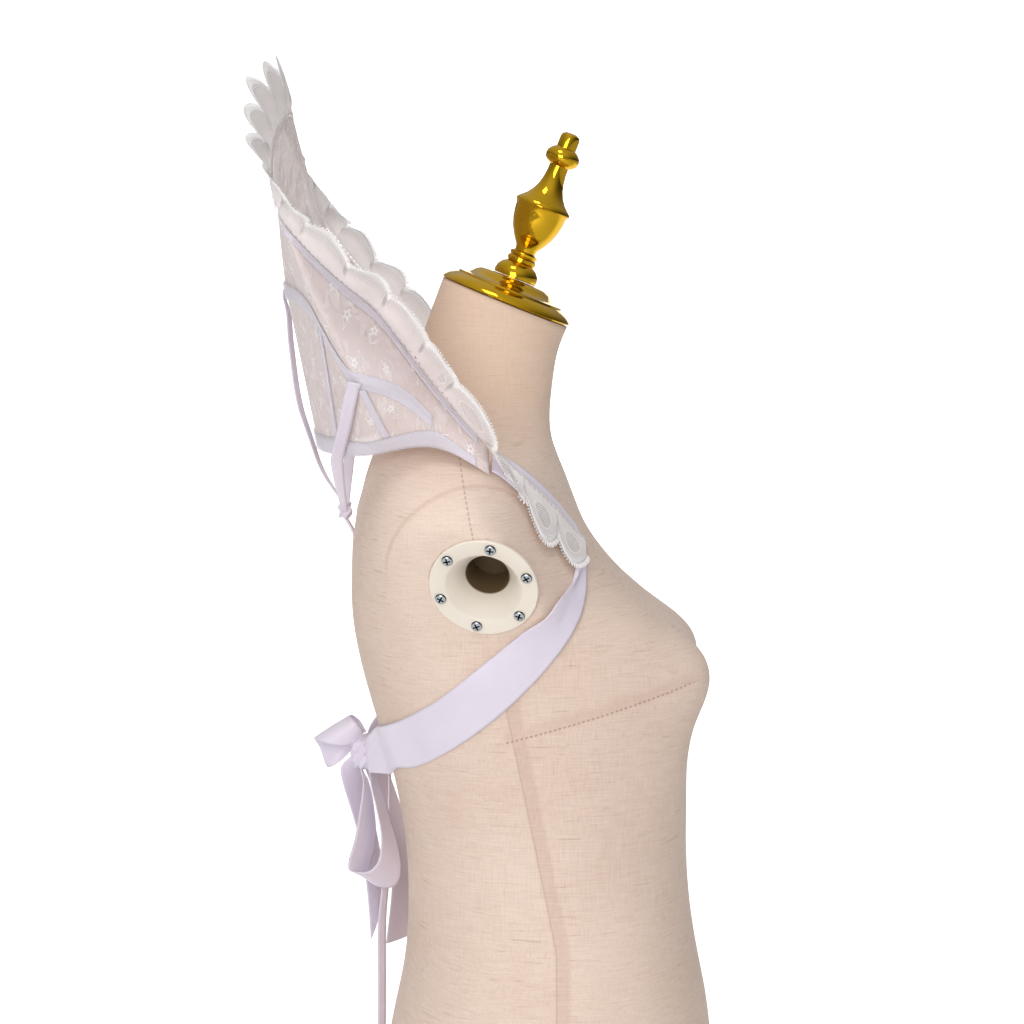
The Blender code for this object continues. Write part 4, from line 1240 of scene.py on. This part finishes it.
# %% Build the picots
PICOT_PITCH = 2.3 * MM
PICOT_REACH = 4.2 * MM
PICOT_WIDTH = 0.27
THREAD = 0.075
PICOT_POINTS = 9


def picot_object():
    """One loop of thread, standing one high along its own Z."""
    curve = bpy.data.curves.new("picot", "CURVE")
    curve.dimensions = "3D"
    curve.bevel_depth = THREAD
    curve.bevel_resolution = 1
    spline = curve.splines.new("POLY")
    spline.points.add(PICOT_POINTS - 1)
    for i in range(PICOT_POINTS):
        turn = math.pi * i / (PICOT_POINTS - 1)
        spline.points[i].co = (-math.cos(turn) * PICOT_WIDTH / 2, 0, math.sin(turn) ** 0.8 - 0.05, 1)
    return add("picot", curve)


def rim_stations():
    """Points evenly along the lace's rim, with the way along it and the way out of it."""
    lengths = arc_lengths(lace_rim)
    count = int(lengths[-1] / PICOT_PITCH)
    found = []
    for k in range(count):
        d = (k + 0.5) * PICOT_PITCH
        i = int(np.searchsorted(lengths, d)) - 1
        f = (d - lengths[i]) / (lengths[i + 1] - lengths[i])
        point = lace_rim[i].lerp(lace_rim[i + 1], f)
        tangent = (lace_rim[i + 1] - lace_rim[i]).normalized()
        out = lace_outward[i].lerp(lace_outward[i + 1], f)
        out = (out - tangent * out.dot(tangent)).normalized()
        found.append((point, tangent, out))
    return found


def build_picots():
    shape = picot_object()
    thread_look, _, _ = material("lace_thread", Base_Color=rgb(252, 249, 248), Roughness=0.7)
    made = scattered("picots", rim_stations(), shape, PICOT_REACH, thread_look)
    bpy.data.objects.remove(shape)
    return made


picots = build_picots()
print("picots: faces", len(picots.data.polygons))

# %% [markdown]
# ## What the cloth pieces are cut from
# Someone may wish to cut or drape the cloth again. So each piece is given the flat size that it was
# cut to, and its own area is printed with its share of that cut. An area is given where the flat
# piece is no rectangle.


def declare_sheet(made, flat_mm, area=None):
    """Prints a cloth's own area, half of its surface, and its share of the cut, given in millimetres.
    """
    flat = [side * MM for side in flat_mm]
    cut = area or flat[0] * flat[1]
    own = sum(p.area for p in made.data.polygons) / 2
    print("cloth", made.name, "area", round(own, 5), "share of its cut", round(own / cut, 2))


RIBBON = 36
NARROW_RIBBON = 10
satin_of = satin_pieces.get
hoop, tie_knot, bow_knot = band_pieces["hoop_band"], satin_of("tie_knot"), satin_of("bow_knot")
declare_sheet(panel, (300, 860), 0.105)
declare_sheet(lace_piece, (45, 1176), 0.0405)
for word in ("right", "left"):
    strap, chest = satin_of(f"strap_{word}"), satin_of(f"chest_ribbon_{word}")
    tie, tail = satin_of(f"tie_{word}"), satin_of(f"tie_tail_{word}")
    declare_sheet(strap, (RIBBON, 310))
    declare_sheet(chest, (28, 120))
    declare_sheet(tie, (NARROW_RIBBON, 178))
    declare_sheet(tail, (NARROW_RIBBON, 490))
declare_sheet(satin_of("tie_centre"), (NARROW_RIBBON, 178), None)
declare_sheet(satin_of("bow_loop_hanging"), (RIBBON, 190), None)
declare_sheet(satin_of("bow_loop_raised"), (RIBBON, 62))
declare_sheet(satin_of("bow_tail_near"), (RIBBON, 150))
declare_sheet(satin_of("bow_tail_far"), (RIBBON, 168))
